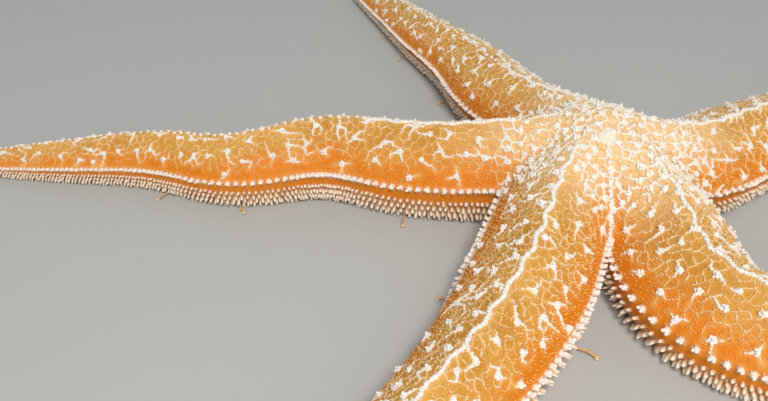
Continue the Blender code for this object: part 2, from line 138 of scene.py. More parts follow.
ARM_PLANS = (
    ArmPlan("left", 171.8, (3.7, -16.5, 39.9, -39.3, 19.0, -1.9), 0.83, 0.99, -0.07,
            0.027, 0.078, (1.6, 3.0)),
    ArmPlan("front_left", 229.8, (18.8, -10.4, -8.6, 0.2, 0.1, 0.0), 0.93, 1.04, 0.03,
            0.018, 0.225, (0.4, 3.0), (-0.14, 0.85)),
    ArmPlan("front_right", 301.4, (-31.0, 58.8, 16.2, 4.5, 1.3, 0.5), 1.04, 0.89, 0.09,
            0.020, 0.225, (3.0, 3.0), (0.25, 0.0)),
    ArmPlan("right", 10.3, (23.6, -4.5, 2.2, 0.6, 0.2, 0.1), 1.04, 0.97, -0.15,
            0.026, 0.130, (1.6, 1.4)),
    ArmPlan("back", 93.9, (29.6, -15.9, 13.0, -5.8, 1.0, 0.0), 1.00, 0.94, 0.24,
            0.022, 0.060, (1.6, 3.0)),
)


@dataclass(frozen=True)
class ArmForm:
    """The sizes that all arms share, along their length and round their section.

    The section's girth runs from 0 at the ridge, over 1 and 2 on the flank and 3 at the upper
    margin, to 4 at the lower margin, 5 at the sole's edge, 6 at the groove's edge and 7 in its
    roof. Section shares are parts of the half width and of the height.
    """

    length: float = 0.225
    shares: tuple[float, ...] = (0.0, 0.12, 0.30, 0.50, 0.70, 0.88, 1.0)
    widths: tuple[float, ...] = (0.0387, 0.0368, 0.0364, 0.0284, 0.0210, 0.0139, 0.0073)
    heights: tuple[float, ...] = (0.0352, 0.0305, 0.0268, 0.0230, 0.0175, 0.0113, 0.0059)
    bend_stations: tuple[float, ...] = (0.12, 0.26, 0.40, 0.54, 0.68, 0.82)
    bend_spread: float = 0.16
    side_shares: tuple[float, ...] = (0.0, 0.42, 0.80, 1.0, 0.96, 0.74, 0.28, 0.0)
    up_shares: tuple[float, ...] = (1.0, 0.86, 0.65, 0.46, 0.17, 0.0, 0.0, 0.24)
    coat_shares: tuple[float, ...] = (0.0, 0.0, 0.0, 0.0, 0.35, 1.0, 1.0, 0.3)
    inset: float = 0.0003
    sole_coat: float = 0.0015
    start: float = -0.004
    step: float = 0.001
    disc_cut: float = 0.042
    sole_rise: float = 0.002
    tip_lift: float = 0.0025
    tip_lift_length: float = 0.020
    tip_round: float = 0.0030
    smallest_scale: float = 0.5
    largest_share: float = 1.05
    drop_start: float = 0.05
    last_girth: float = 7.0

    def half_width(self, station: Array) -> Array:
        """Half the shared width, just inside the solids."""
        return hermite(self.shares, self.widths, station / self.length) / 2 - self.inset

    def height(self, station: Array) -> Array:
        """The ridge's shared height over the sole."""
        return hermite(self.shares, self.heights, station / self.length) - self.inset

    def scale(self, station: Array) -> Array:
        """How large small things are there, beside those at the arm's base.

        Args:
            station: Distances from the disc's centre.

        Returns:
            Factors on their full sizes.
        """
        share = self.half_width(station) / self.half_width(np.array(self.disc_cut))
        share = np.clip(share, 0.0, self.largest_share)
        return self.smallest_scale + (1.0 - self.smallest_scale) * share

    def sole(self, station: Array) -> Array:
        """The sole's height over the floor: raised at the mouth and at the upturned tip.

        Args:
            station: Distances from the disc's centre.

        Returns:
            The heights, in metres.
        """
        under_disc = self.sole_rise * (1.0 - np.clip(station / self.disc_cut, 0.0, 1.0))
        tip_start = self.length - self.tip_lift_length
        return under_disc + self.tip_lift * smoothstep((station - tip_start) / self.tip_lift_length)

    def section(self, girth: Array) -> tuple[Array, Array, Array]:
        """Reads the section's smooth outline.

        Args:
            girth: Places round the section, from 0 at the ridge to 7 in the groove's roof.

        Returns:
            The share of the half width, the share of the height and the share of the sole's coat.
        """
        places = np.arange(-1.0, len(self.side_shares) + 1.0)
        read = []
        for shares, mirror in ((self.side_shares, -1.0), (self.up_shares, 1.0), (self.coat_shares, 1.0)):
            padded = np.array([mirror * shares[1], *shares, mirror * shares[-2]])
            read.append(hermite(places, padded, girth))
        return read[0], read[1], read[2]


FORM = ArmForm()
DROPS = np.array([plan.drops for plan in ARM_PLANS])


@dataclass(frozen=True)
class Dome:
    """The swelling over the middle of the disc, just inside the solids."""

    height: float = 0.0352
    radius: float = 0.024
    reach: float = 0.030
    power: float = 3.0
    steps: int = 64

    def height_at(self, radius: Array) -> Array:
        """The height over the floor at distances from the middle."""
        return self.height * (1.0 - (radius / self.reach) ** self.power)


DOME = Dome()


class Course:
    """The line on the floor that an arm follows, and its surface over it."""

    def __init__(self, plan: ArmPlan, middle: Array) -> None:
        """Lays the line out in steps from the disc's centre.

        Args:
            plan: The arm's name, bearing and bends.
            middle: The disc's centre on the floor.
        """
        self.plan = plan
        self.stations = np.arange(FORM.start, FORM.length + 2 * FORM.step, FORM.step)
        headings = self.heading(self.stations)
        middles = (headings[1:] + headings[:-1]) / 2
        steps = np.diff(self.stations)[:, None] * np.stack([np.cos(middles), np.sin(middles)], 1)
        line = np.concatenate([np.zeros((1, 2)), np.cumsum(steps, 0)])
        line += middle[:2] - line[int(np.argmin(np.abs(self.stations)))]
        self.line = line

    def own(self, factor: float, station: Array) -> Array:
        """A factor of this arm's own, which grows in over the disc."""
        return 1.0 + (factor - 1.0) * smoothstep(station / FORM.disc_cut)

    def half_width(self, station: Array) -> Array:
        """Half this arm's width."""
        return FORM.half_width(station) * self.own(self.plan.width, station)

    def height(self, station: Array) -> Array:
        """This arm's ridge height over the sole."""
        return FORM.height(station) * self.own(self.plan.height, station)

    def shift(self, station: Array, up: Array) -> Array:
        """How far to the left the lean moves the section at a share of its height."""
        lean = self.plan.lean * smoothstep(station / FORM.disc_cut)
        return lean * up * self.height(station)

    def heading(self, station: Array) -> Array:
        """The direction of growth at distances from the disc's centre, in radians.

        Args:
            station: Distances from the disc's centre.

        Returns:
            The directions.
        """
        share = np.asarray(station, float) / FORM.length
        turned = np.full(share.shape, float(self.plan.bearing))
        for bend, place in zip(self.plan.bends, FORM.bend_stations):
            turned = turned + bend * smoothstep((share - place) / FORM.bend_spread + 0.5)
        return np.radians(turned)

    def forward(self, station: Array) -> Array:
        """Unit vectors along the arm."""
        heading = self.heading(station)
        return np.stack([np.cos(heading), np.sin(heading), np.zeros_like(heading)], -1)

    def leftward(self, station: Array) -> Array:
        """Unit vectors to the left of the arm."""
        heading = self.heading(station)
        return np.stack([-np.sin(heading), np.cos(heading), np.zeros_like(heading)], -1)

    def centre(self, station: Array) -> Array:
        """Points of the course on the floor."""
        spots = [np.interp(station, self.stations, self.line[:, axis]) for axis in (0, 1)]
        return np.stack([*spots, np.zeros_like(spots[0])], -1)

    def place(self, station: Array, side: Array, up: Array) -> Array:
        """Points from metres to the left of the course and metres over the floor."""
        base = self.centre(station) + self.leftward(station) * np.asarray(side)[..., None]
        return base + UP * np.asarray(up)[..., None]

    def surface(self, station: Array, girth: Array, sign: Array) -> Array:
        """Points of the arm's smooth surface.

        Args:
            station: Distances from the disc's centre.
            girth: Places round the section.
            sign: 1 on the arm's left and -1 on its right.

        Returns:
            The points, in metres.
        """
        share, up, coat = FORM.section(girth)
        over = FORM.sole(station) + up * self.height(station)
        over = over + coat * FORM.sole_coat * FORM.scale(station)
        side = share * sign * self.half_width(station) + self.shift(station, up)
        return self.place(station, side, over)


@dataclass
class Spots:
    """Places on the animal: which arm, how far along, which side and how far round."""

    arm: Array
    station: Array
    sign: Array
    girth: Array

    def pick(self, chosen: Array) -> "Spots":
        """The chosen places only."""
        return Spots(self.arm[chosen], self.station[chosen], self.sign[chosen], self.girth[chosen])

    @staticmethod
    def join(groups: "Sequence[Spots]") -> "Spots":
        """All places of several groups in one."""
        return Spots(*(np.concatenate([getattr(group, name) for group in groups])
                       for name in ("arm", "station", "sign", "girth")))

    def drop(self) -> Array:
        """How low the margins hang at each place."""
        eased = smoothstep(self.station / FORM.drop_start - 1.0)
        return DROPS[self.arm, (self.sign < 0.0).astype(int)] * eased

    def patch(self) -> Array:
        """Where the places lie on an unwrap of the skin, with a strip for each arm.

        Returns:
            Places from 0 to 1, along and across.
        """
        along = 0.01 + 0.98 * np.clip(self.station / FORM.length, 0.0, 1.0)
        side = STRIP_SHARE * self.sign * self.girth / FORM.last_girth
        across = (self.arm + 0.5 + side) / len(ARM_PLANS)
        return np.stack([along, across], -1)


class Body:
    """The animal's plan: five courses that meet in the disc.

    The pivot is the share of the height from which the girth is read as a turn. The reach is
    tried at even steps of girth, and has a value of its own where nothing covers the flank.
    """

    girth_pivot: float = 0.30
    table_size: int = 141
    chunk: int = 4096
    reach_step: float = 0.1
    reach_steps: int = 29
    whole_reach: float = 9.0

    def __init__(self, middle: Array) -> None:
        """Lays out the arms round the disc's centre.

        Args:
            middle: The disc's centre on the floor.
        """
        self.middle = middle
        self.courses = [Course(plan, middle) for plan in ARM_PLANS]
        self.table_girth = np.linspace(0.0, FORM.last_girth, self.table_size)
        side, up, _ = FORM.section(self.table_girth)
        turns = np.arctan2(side, up - self.girth_pivot)
        turns[-1] = math.pi
        self.table_turn = np.maximum.accumulate(turns)

    def locate(self, points: Array) -> Spots:
        """Finds the nearest arm and the place on it of each point."""
        return Spots.join([self.locate_some(points[i : i + self.chunk])
                           for i in range(0, len(points), self.chunk)])

    def locate_some(self, points: Array) -> Spots:
        """The same for a few thousand points at a time.

        Args:
            points: The points, in metres.

        Returns:
            The place of each.
        """
        best = np.full(len(points), np.inf)
        found = Spots(*(np.zeros(len(points)) for _ in range(4)))
        found.arm = found.arm.astype(int)
        for index, course in enumerate(self.courses):
            usable = course.stations >= 0.0
            line, stations = course.line[usable], course.stations[usable]
            gaps = ((points[:, None, :2] - line[None]) ** 2).sum(2)
            near = gaps.argmin(1)
            offset = points[:, :2] - line[near]
            ahead = course.forward(stations[near])[:, :2]
            left = course.leftward(stations[near])[:, :2]
            along = (offset * ahead).sum(1)
            side = (offset * left).sum(1)
            station = np.clip(stations[near] + along, 0.0, FORM.length)
            half = course.half_width(station)
            behind = np.maximum(0.0, -(stations[near] + along))
            up = (points[:, 2] - FORM.sole(station)) / course.height(station)
            side = side - course.shift(station, up)
            share = np.abs(side) / half + 2.0 * behind / half
            turn = np.arctan2(np.abs(side) / half, up - self.girth_pivot)
            girth = np.interp(turn, self.table_turn, self.table_girth)
            better = share < best
            best = np.where(better, share, best)
            found.arm[better] = index
            found.station[better] = station[better]
            found.sign[better] = np.where(side < 0.0, -1.0, 1.0)[better]
            found.girth[better] = girth[better]
        return found

    def surface(self, spots: Spots) -> Array:
        """The points of the smooth arms at these places.

        Args:
            spots: Places on the animal.

        Returns:
            The points, in metres.
        """
        points = np.zeros((len(spots.arm), 3))
        for index, course in enumerate(self.courses):
            here = spots.arm == index
            points[here] = course.surface(spots.station[here], spots.girth[here], spots.sign[here])
        return points

    def outward(self, spots: Spots) -> Array:
        """Unit vectors away from the course, level with the floor."""
        return self.across(spots) * spots.sign[:, None]

    def across(self, spots: Spots) -> Array:
        """Unit vectors to the left of each place's arm.

        Args:
            spots: Places on the animal.

        Returns:
            The vectors.
        """
        turned = np.zeros((len(spots.arm), 3))
        for index, course in enumerate(self.courses):
            here = spots.arm == index
            turned[here] = course.leftward(spots.station[here])
        return turned

    def reach(self, arm: int, stations: Array, sign: float) -> Array:
        """How far round its section an arm shows before its neighbour covers it.

        Args:
            arm: The arm's number.
            stations: Distances from the disc's centre.
            sign: 1 on the arm's left and -1 on its right.

        Returns:
            The girth at each station, or 9 where the whole flank shows.
        """
        steps = self.reach_step * (2.0 + np.arange(self.reach_steps))
        station, girth = np.meshgrid(stations, steps, indexing="ij")
        flat = station.ravel()
        points = self.courses[arm].surface(flat, girth.ravel(), np.full(flat.shape, sign))
        own = (self.locate(points).arm == arm).reshape(station.shape)
        count = np.cumprod(own, axis=1).sum(1)
        return np.where(count == len(steps), self.whole_reach, count * self.reach_step)


# Meshes


def object_from(bm: bmesh.types.BMesh, name: str) -> bpy.types.Object:
    """Turns a finished bmesh into a linked object.

    Args:
        bm: The bmesh, which is freed.
        name: The object's name.

    Returns:
        The object.
    """
    mesh = bpy.data.meshes.new(name)
    bm.to_mesh(mesh)
    bm.free()
    return linked(mesh, name)


def linked(data: bpy.types.ID, name: str) -> bpy.types.Object:
    """Puts a mesh, a camera or a lamp into the scene as an object.

    Args:
        data: The mesh, camera or lamp.
        name: The object's name.

    Returns:
        The object.
    """
    made = bpy.data.objects.new(name, data)
    bpy.context.scene.collection.objects.link(made)
    return made


def loft(name: str, rings: Array) -> bpy.types.Object:
    """A closed body through matching rings of points.

    Args:
        name: The object's name.
        rings: One row of points for each ring.

    Returns:
        The linked object.
    """
    bm = bmesh.new()
    loops = []
    for ring in rings:
        corners = [bm.verts.new(point) for point in ring]
        loops.append([bm.edges.new(pair) for pair in zip(corners, corners[1:] + corners[:1])])
    for near, far in zip(loops, loops[1:]):
        bmesh.ops.bridge_loops(bm, edges=near + far)
    for end in (loops[0], loops[-1]):
        bmesh.ops.contextual_create(bm, geom=end)
    bmesh.ops.recalc_face_normals(bm, faces=bm.faces)
    return object_from(bm, name)


def turned(profile: Sequence[tuple[float, float]], steps: int) -> bmesh.types.BMesh:
    """A closed body of revolution about Z.

    Args:
        profile: Radius and height of each point, from pole to pole.
        steps: How many sides it has.

    Returns:
        The bmesh.
    """
    bm = bmesh.new()
    corners = [bm.verts.new((radius, 0.0, height)) for radius, height in profile]
    edges = [bm.edges.new(pair) for pair in zip(corners, corners[1:])]
    bmesh.ops.spin(bm, geom=corners + edges, axis=UP, cent=(0.0, 0.0, 0.0),
                   angle=math.tau, steps=steps, use_merge=True)
    bmesh.ops.remove_doubles(bm, verts=bm.verts, dist=1e-6)
    bmesh.ops.recalc_face_normals(bm, faces=bm.faces)
    return bm


def evaluated(target: bpy.types.Object) -> bpy.types.Mesh:
    """The mesh of an object with its modifiers applied."""
    graph = bpy.context.evaluated_depsgraph_get()
    return bpy.data.meshes.new_from_object(target.evaluated_get(graph))


def combine(target: bpy.types.Object, others: list[bpy.types.Object], operation: str) -> None:
    """Joins closed bodies to the target, or cuts them from it, and removes them.

    Args:
        target: The body that changes.
        others: The closed bodies.
        operation: UNION or DIFFERENCE.
    """
    group = bpy.data.collections.new("parts")
    bpy.context.scene.collection.children.link(group)
    for other in others:
        group.objects.link(other)
    modifier = target.modifiers.new("combine", "BOOLEAN")
    modifier.operation = operation
    modifier.operand_type = "COLLECTION"
    modifier.collection = group
    modifier.solver = "MANIFOLD"
    target.data = evaluated(target)
    target.modifiers.clear()
    for other in others:
        bpy.data.objects.remove(other)
    bpy.data.collections.remove(group)


def read_points(mesh: bpy.types.Mesh, kind: str = "co") -> Array:
    """The places of a mesh's vertices, or its vertex normals.

    Args:
        mesh: The mesh.
        kind: co for places, and normal for normals.

    Returns:
        One row for each vertex.
    """
    source = mesh.vertices if kind == "co" else mesh.vertex_normals
    points = np.zeros(len(source) * 3, np.float32)
    source.foreach_get("co" if kind == "co" else "vector", points)
    return points.reshape(-1, 3).astype(float)


def write_floats(mesh: bpy.types.Mesh, name: str, values: Array) -> None:
    """Stores one number for each vertex, for the materials to read."""
    attribute = mesh.attributes.new(name, "FLOAT", "POINT")
    attribute.data.foreach_set("value", np.ascontiguousarray(values, np.float32))


def tree_of(points: Array) -> KDTree:
    """A search tree over points.

    Args:
        points: The points.

    Returns:
        The tree, which gives back their numbers.
    """
    tree = KDTree(len(points))
    for index, point in enumerate(points):
        tree.insert(point, index)
    tree.balance()
    return tree


class Ground:
    """The finished skin, for setting things on.

    A spine looks ahead over a little more than its length, from a lift over its root. Where it
    would meet the skin again, it takes its share of the gap.
    """

    lift: float = 0.0008
    look_ahead: float = 1.6
    shared: float = 0.45

    def __init__(self, mesh: bpy.types.Mesh) -> None:
        """Makes a search tree over a mesh.

        Args:
            mesh: The skin's mesh.
        """
        bm = bmesh.new()
        bm.from_mesh(mesh)
        self.tree = BVHTree.FromBMesh(bm)
        bm.free()
        self.corners = read_points(mesh)
        self.normals = read_points(mesh, "normal")
        self.near = tree_of(self.corners)

    def settle(self, points: Array) -> tuple[Array, Array]:
        """Moves points to the nearest of the skin.

        Args:
            points: Places near the skin.

        Returns:
            The points on the skin, and the skin's smooth normal at each.
        """
        on_skin = np.zeros_like(points)
        square = np.zeros_like(points)
        for index, point in enumerate(points):
            on_skin[index] = self.tree.find_nearest(point)[0]
            square[index] = self.normals[self.near.find(on_skin[index])[1]]
        return on_skin, square

    def room(self, roots: Array, directions: Array, lengths: Array) -> Array:
        """Lengths cut short where a spine would run into the skin across a crotch.

        Args:
            roots: The spines' roots.
            directions: Their directions.
            lengths: Their full lengths.

        Returns:
            The lengths that they have room for.
        """
        cut = lengths.copy()
        for index, (root, ahead, length) in enumerate(zip(roots, directions, lengths)):
            hit = self.tree.ray_cast(root + ahead * self.lift, ahead, length * self.look_ahead)[3]
            if hit is not None:
                cut[index] = min(length, (hit + self.lift) * self.shared)
        return cut


class Form(Enum):
    """The shapes of small parts: how many sides, and a profile of radius and height shares."""

    GRAIN = (4, ((0.0, -0.35), (1.0, -0.2), (0.0, 1.0)))
    KNOB = (6, ((0.0, -0.5), (1.0, -0.35), (0.80, 0.58), (0.0, 1.0)))
    BLUNT = (6, ((0.0, -0.3), (0.85, -0.25), (0.85, 0.4), (1.0, 0.78), (0.0, 1.0)))
    POINT = (5, ((0.0, -0.3), (0.85, -0.25), (1.0, 0.45), (0.55, 0.88), (0.0, 1.0)))
    PLATE = (8, ((0.0, -0.6), (1.0, -0.4), (0.88, 0.45), (0.5, 0.88), (0.0, 1.0)))
    GILL = (4, ((0.0, -0.3), (1.0, -0.2), (0.0, 1.0)))
    FOOT = (7, ((0.0, -0.02), (0.85, -0.01), (0.7, 0.3), (0.62, 0.65), (0.72, 0.9), (1.6, 0.97),
                (1.4, 1.0), (0.0, 0.985)))
    BAR = (3, ((0.0, -0.08), (1.0, -0.02), (1.0, 1.02), (0.0, 1.08)))


class Shape:
    """One small part as arrays, ready to be repeated."""

    def __init__(self, form: Form) -> None:
        """Turns the form's profile and reads its triangles and its flat pattern.

        Args:
            form: The form.
        """
        sides, profile = form.value
        bm = turned(profile, sides)
        bmesh.ops.triangulate(bm, faces=bm.faces)
        bm.verts.index_update()
        self.corners = np.array([v.co for v in bm.verts])
        self.faces = np.array([[v.index for v in face.verts] for face in bm.faces])
        bm.free()
        low, high = profile[0][1], profile[-1][1]
        turn = np.arctan2(self.corners[:, 1], self.corners[:, 0]) / math.tau
        rise = (self.corners[:, 2] - low) / (high - low)
        pole = np.hypot(self.corners[:, 0], self.corners[:, 1]) < 1e-6
        pattern = np.stack([turn[self.faces], rise[self.faces]], -1)
        for corners, face in zip(pattern, self.faces):
            ring = [i for i in range(3) if not pole[face[i]]]
            first = corners[ring[0], 0]
            for i in ring:
                corners[i, 0] += round(first - corners[i, 0])
            for i in set(range(3)) - set(ring):
                corners[i, 0] = np.mean([corners[j, 0] for j in ring])
        self.pattern = pattern.reshape(-1, 2) - 0.5


SHAPES = {form: Shape(form) for form in Form}


@dataclass
class Growth:
    """Many like small parts: where each stands, and its size, colour and place on the skin.

    A part's path has two or more points. Its width runs along the sides, and its depth along
    what is square to both. A batch holds paths, sides, half widths, half depths, whites and spots.
    """

    form: Form
    batches: list[tuple[Array, Array, Array, Array, Array, Spots]] = field(default_factory=list)

    def add(self, paths: Array, sides: Array, widths: Array, depths: Array, spots: Spots,
            whites: Array) -> None:
        """Adds parts.

        Args:
            paths: The points of each part's path.
            sides: A unit vector across each part, or one for each point of its path.
            widths: Half widths.
            depths: Half depths.
            spots: Where on the animal the parts stand.
            whites: How white each part is, from 0 to 1.
        """
        if sides.ndim == 2:
            sides = np.repeat(sides[:, None], paths.shape[1], axis=1)
        self.batches.append((paths, sides, widths, depths, whites, spots))

    def stand(self, roots: Array, directions: Array, lengths: Array, sides: Array, widths: Array,
              depths: Array, spots: Spots, whites: Array) -> None:
        """Adds straight parts that stand on the skin."""
        paths = np.stack([roots, roots + directions * lengths[:, None]], 1)
        self.add(paths, sides, widths, depths, spots, whites)

    def dress(self, name: str, finish: bpy.types.Material, draw: np.random.Generator) -> None:
        """Makes the growth's pieces arm by arm, each small enough for the library.

        Args:
            name: The pieces' name, with a number behind it where there are several.
            finish: Their material.
            draw: The source of each part's own tone.
        """
        *arrays, spots = zip(*self.batches)
        spots = Spots.join(spots)
        order = np.argsort(spots.arm, kind="stable")
        arrays = [np.concatenate(kept) for kept in arrays]
        pieces = -(-len(order) * len(SHAPES[self.form].faces) // PIECE_LIMIT)
        log.info("%s: %d parts", name, len(order))
        for index, chosen in enumerate(np.array_split(order, pieces)):
            piece = name if pieces == 1 else f"{name}_{index + 1}"
            made = repeated(piece, SHAPES[self.form], [kept[chosen] for kept in arrays],
                            spots.pick(chosen), draw)
            dress(linked(made, piece), finish)


def repeated(name: str, shape: Shape, arrays: list[Array], spots: Spots,
             draw: np.random.Generator) -> bpy.types.Mesh:
    """Repeats a shape along many paths.

    Args:
        name: The mesh's name.
        shape: The shape.
        arrays: The parts' paths, sides, half widths, half depths and whites.
        spots: Where on the animal the parts stand.
        draw: The source of each part's own tone.

    Returns:
        One mesh of triangles, with its bake map and attributes.
    """
    paths, sides, widths, depths, whites = arrays
    number, knots = paths.shape[:2]
    each = len(shape.corners)
    height = np.clip(shape.corners[:, 2], 0.0, 1.0)
    along = height * (knots - 1)
    index = np.minimum(along.astype(int), knots - 2)
    local = (along - index)[None, :, None]
    spine = paths[:, index] * (1.0 - local) + paths[:, index + 1] * local
    ahead = unit(paths[:, index + 1] - paths[:, index])
    length = np.linalg.norm(paths[:, -1] - paths[:, 0], axis=1)[:, None, None]
    past = (shape.corners[:, 2] - height)[None, :, None]
    side = unit(sides[:, index] * (1.0 - local) + sides[:, index + 1] * local)
    side = unit(side - ahead * (side * ahead).sum(-1, keepdims=True))
    depth = np.cross(ahead, side)
    spread = side * (shape.corners[:, 0][None, :, None] * widths[:, None, None])
    spread = spread + depth * (shape.corners[:, 1][None, :, None] * depths[:, None, None])
    corners = (spine + ahead * past * length + spread).reshape(-1, 3)
    faces = shape.faces[None] + np.arange(number)[:, None, None] * each
    made = triangle_mesh(name, corners, faces.reshape(-1, 3))
    pattern = spots.patch()[:, None] + shape.pattern[None] * PATCH
    layer = made.uv_layers.new(name=BAKE_MAP)
    layer.data.foreach_set("uv", np.clip(pattern, 0.0, 1.0).astype(np.float32).ravel())
    write_floats(made, "rise", np.tile(height, number))
    for kind, values in (("white", whites), ("tone", draw.random(number)),
                         ("girth", spots.girth), ("station", spots.station)):
        write_floats(made, kind, np.repeat(values, each))
    return made


def triangle_mesh(name: str, corners: Array, faces: Array) -> bpy.types.Mesh:
    """A smooth-shaded mesh from repeated triangles.

    Args:
        name: The mesh's name.
        corners: One row for each vertex.
        faces: Three vertices for each triangle.

    Returns:
        The mesh.
    """
    made = bpy.data.meshes.new(name)
    made.vertices.add(len(corners))
    made.vertices.foreach_set("co", corners.astype(np.float32).ravel())
    made.loops.add(faces.size)
    made.loops.foreach_set("vertex_index", faces.astype(np.int32).ravel())
    made.polygons.add(len(faces))
    made.polygons.foreach_set("loop_start", np.arange(0, faces.size, 3, dtype=np.int32))
    made.update(calc_edges=True)
    made.shade_smooth()
    made.validate()
    return made


# Materials


class Socket:
    """A shader value that adds its Math nodes when it is reckoned with."""

    def __init__(self, graph: "Graph", socket: bpy.types.NodeSocket) -> None:
        """Wraps an output socket."""
        self.graph = graph
        self.socket = socket

    def math(self, operation: str, *others: "Socket | float") -> "Socket":
        """The result of a Math node on this value and others."""
        return self.graph.add("ShaderNodeMath", {"operation": operation}, [self, *others])

    def __add__(self, other: "Socket | float") -> "Socket":
        """This plus other."""
        return self.math("ADD", other)

    def __sub__(self, other: "Socket | float") -> "Socket":
        """This minus other."""
        return self.math("SUBTRACT", other)

    def __rsub__(self, other: float) -> "Socket":
        """Other minus this."""
        return self.graph.add("ShaderNodeMath", {"operation": "SUBTRACT"}, [other, self])

    def __mul__(self, other: "Socket | float") -> "Socket":
        """This times other."""
        return self.math("MULTIPLY", other)

    def __pow__(self, other: "Socket | float") -> "Socket":
        """This to the power of other."""
        return self.math("POWER", other)

    def clamp(self) -> "Socket":
        """This held between 0 and 1."""
        return self.graph.add("ShaderNodeClamp", {}, [self])

    def ease(self, low: float, high: float) -> "Socket":
        """Runs smoothly from 0 to 1 as this goes from low to high."""
        return self.graph.add("ShaderNodeMapRange", {"interpolation_type": "SMOOTHSTEP"},
                              {"Value": self, "From Min": low, "From Max": high})

    __radd__ = __add__
    __rmul__ = __mul__


class Graph:
    """A material that is put together from nodes."""

    def __init__(self, name: str) -> None:
        """Starts a material that has only its output.

        Args:
            name: The material's name.
        """
        self.material = bpy.data.materials.new(name)
        self.material.use_nodes = True
        self.tree = self.material.node_tree
        self.tree.nodes.clear()

    def add(self, kind: str, settings: dict, inputs: dict | list, output: int | str = 0) -> Socket:
        """Adds a node.

        Args:
            kind: The node's type.
            settings: Its properties, set first.
            inputs: Values or sockets by input name or place.
            output: Which output is given back.

        Returns:
            The output, wrapped.
        """
        node = self.tree.nodes.new(kind)
        for key, value in settings.items():
            setattr(node, key, value)
        pairs = inputs.items() if isinstance(inputs, dict) else enumerate(inputs)
        for key, value in pairs:
            if isinstance(value, Socket):
                self.tree.links.new(value.socket, node.inputs[key])
            else:
                node.inputs[key].default_value = value
        return Socket(self, node.outputs[output])

    def attribute(self, name: str) -> Socket:
        """A number stored on the piece's vertices."""
        return self.add("ShaderNodeAttribute", {"attribute_name": name}, {}, "Fac")

    def coordinates(self) -> Socket:
        """Places in the frame of the solids."""
        return self.add("ShaderNodeTexCoord", {}, {}, "Object")

    def noise(self, scale: float, detail: float = 3.0, roughness: float = 0.5) -> Socket:
        """Soft noise from 0 to 1, with a grain of about 1 / scale metres."""
        inputs = {"Vector": self.coordinates(), "Scale": scale, "Detail": detail, "Roughness": roughness}
        return self.add("ShaderNodeTexNoise", {}, inputs)

    def cells(self, scale: float, feature: str = "F1") -> Socket:
        """The distance to the nearest of scattered points, in cell sizes."""
        inputs = {"Vector": self.coordinates(), "Scale": scale}
        return self.add("ShaderNodeTexVoronoi", {"feature": feature}, inputs, "Distance")

    def mix(self, factor: Socket | float, first: Socket | Colour, second: Socket | Colour,
            blend: str = "MIX") -> Socket:
        """A colour between two, or a blend of them."""
        settings = {"data_type": "RGBA", "blend_type": blend}
        return self.add("ShaderNodeMix", settings, {0: factor, 6: first, 7: second}, 2)

    def bump(self, height: Socket, strength: float, distance: float) -> Socket:
        """A normal that follows a height."""
        inputs = {"Height": height, "Strength": strength, "Distance": distance}
        return self.add("ShaderNodeBump", {}, inputs)

    def finish(self, **inputs: "Socket | float | Colour") -> bpy.types.Material:
        """Closes the graph with its surface shader.

        Args:
            inputs: Values of the shader's inputs, with _ for each space.

        Returns:
            The material.
        """
        named = {key.replace("_", " "): value for key, value in inputs.items()}
        named["Subsurface Scale"] = 1.0
        surface = self.add("ShaderNodeBsdfPrincipled", {}, named)
        self.add_output(surface)
        return self.material

    def add_output(self, surface: Socket) -> None:
        """Links the surface to the material's output."""
        node = self.tree.nodes.new("ShaderNodeOutputMaterial")
        self.tree.links.new(surface.socket, node.inputs["Surface"])


def colour(red: int, green: int, blue: int) -> Colour:
    """A scene colour from display values of 0 to 255.

    Args:
        red: Red.
        green: Green.
        blue: Blue.

    Returns:
        The colour, with full alpha.
    """
    shares = [part / 255 for part in (red, green, blue)]
    linear = [s / 12.92 if s <= 0.04045 else ((s + 0.055) / 1.055) ** 2.4 for s in shares]
    return (linear[0], linear[1], linear[2], 1.0)


@dataclass(frozen=True)
class Flesh:
    """The body's colours, which the skin shares with all that grows on it, with a painted highlight on
    the disc and painted shade under the comb.
    """

    amber: Colour = colour(210, 152, 60)
    dusk: Colour = colour(194, 131, 38)
    # The disc's pale colour: partly the disc's own paler tone and partly a painted highlight for the lamp
    # light that pools on the disc.
    pale_disc_and_painted_highlight: Colour = colour(248, 214, 172)
    orange: Colour = colour(222, 122, 4)
    channel: Colour = colour(216, 128, 34)
    # The underside's own beige, which is also painted up under the comb as shade between its spines.
    sole: Colour = colour(196, 150, 104)

    def build(self, g: "Graph") -> Socket:
        """Amber and dusk on the back, a disc paled partly by a painted highlight, pure orange flanks, and
        a pale underside that reaches up under the comb as painted shade.

        Args:
            g: The material's graph.

        Returns:
            The colour.
        """
        girth = g.attribute("girth")
        station = g.attribute("station")
        broad = g.noise(75.0, 3.0)
        patchy = g.noise(260.0, 3.0)
        back = g.mix(broad.ease(0.36, 0.64), self.amber, self.dusk)
        # Painted highlight: the back pales towards the disc's middle, partly its own tone and partly the
        # lamp's glare on the disc.
        back = g.mix((1.0 - station.ease(0.016, 0.050)) * 0.85, back, self.pale_disc_and_painted_highlight)
        flank = (girth + broad * 1.2 - 0.6).ease(0.8, 2.2)
        flesh = g.mix(flank, back, self.orange)
        flesh = g.mix(patchy.ease(0.48, 0.72) * 0.3, flesh, self.amber)
        flesh = g.mix((girth + patchy * 0.4).ease(3.0, 3.5), flesh, self.channel)
        # From girth 3.45 the underside's beige takes over: the underside's own colour, and under the comb
        # also painted shade between the spines.
        return g.mix(girth.ease(3.45, 3.85), flesh, self.sole)


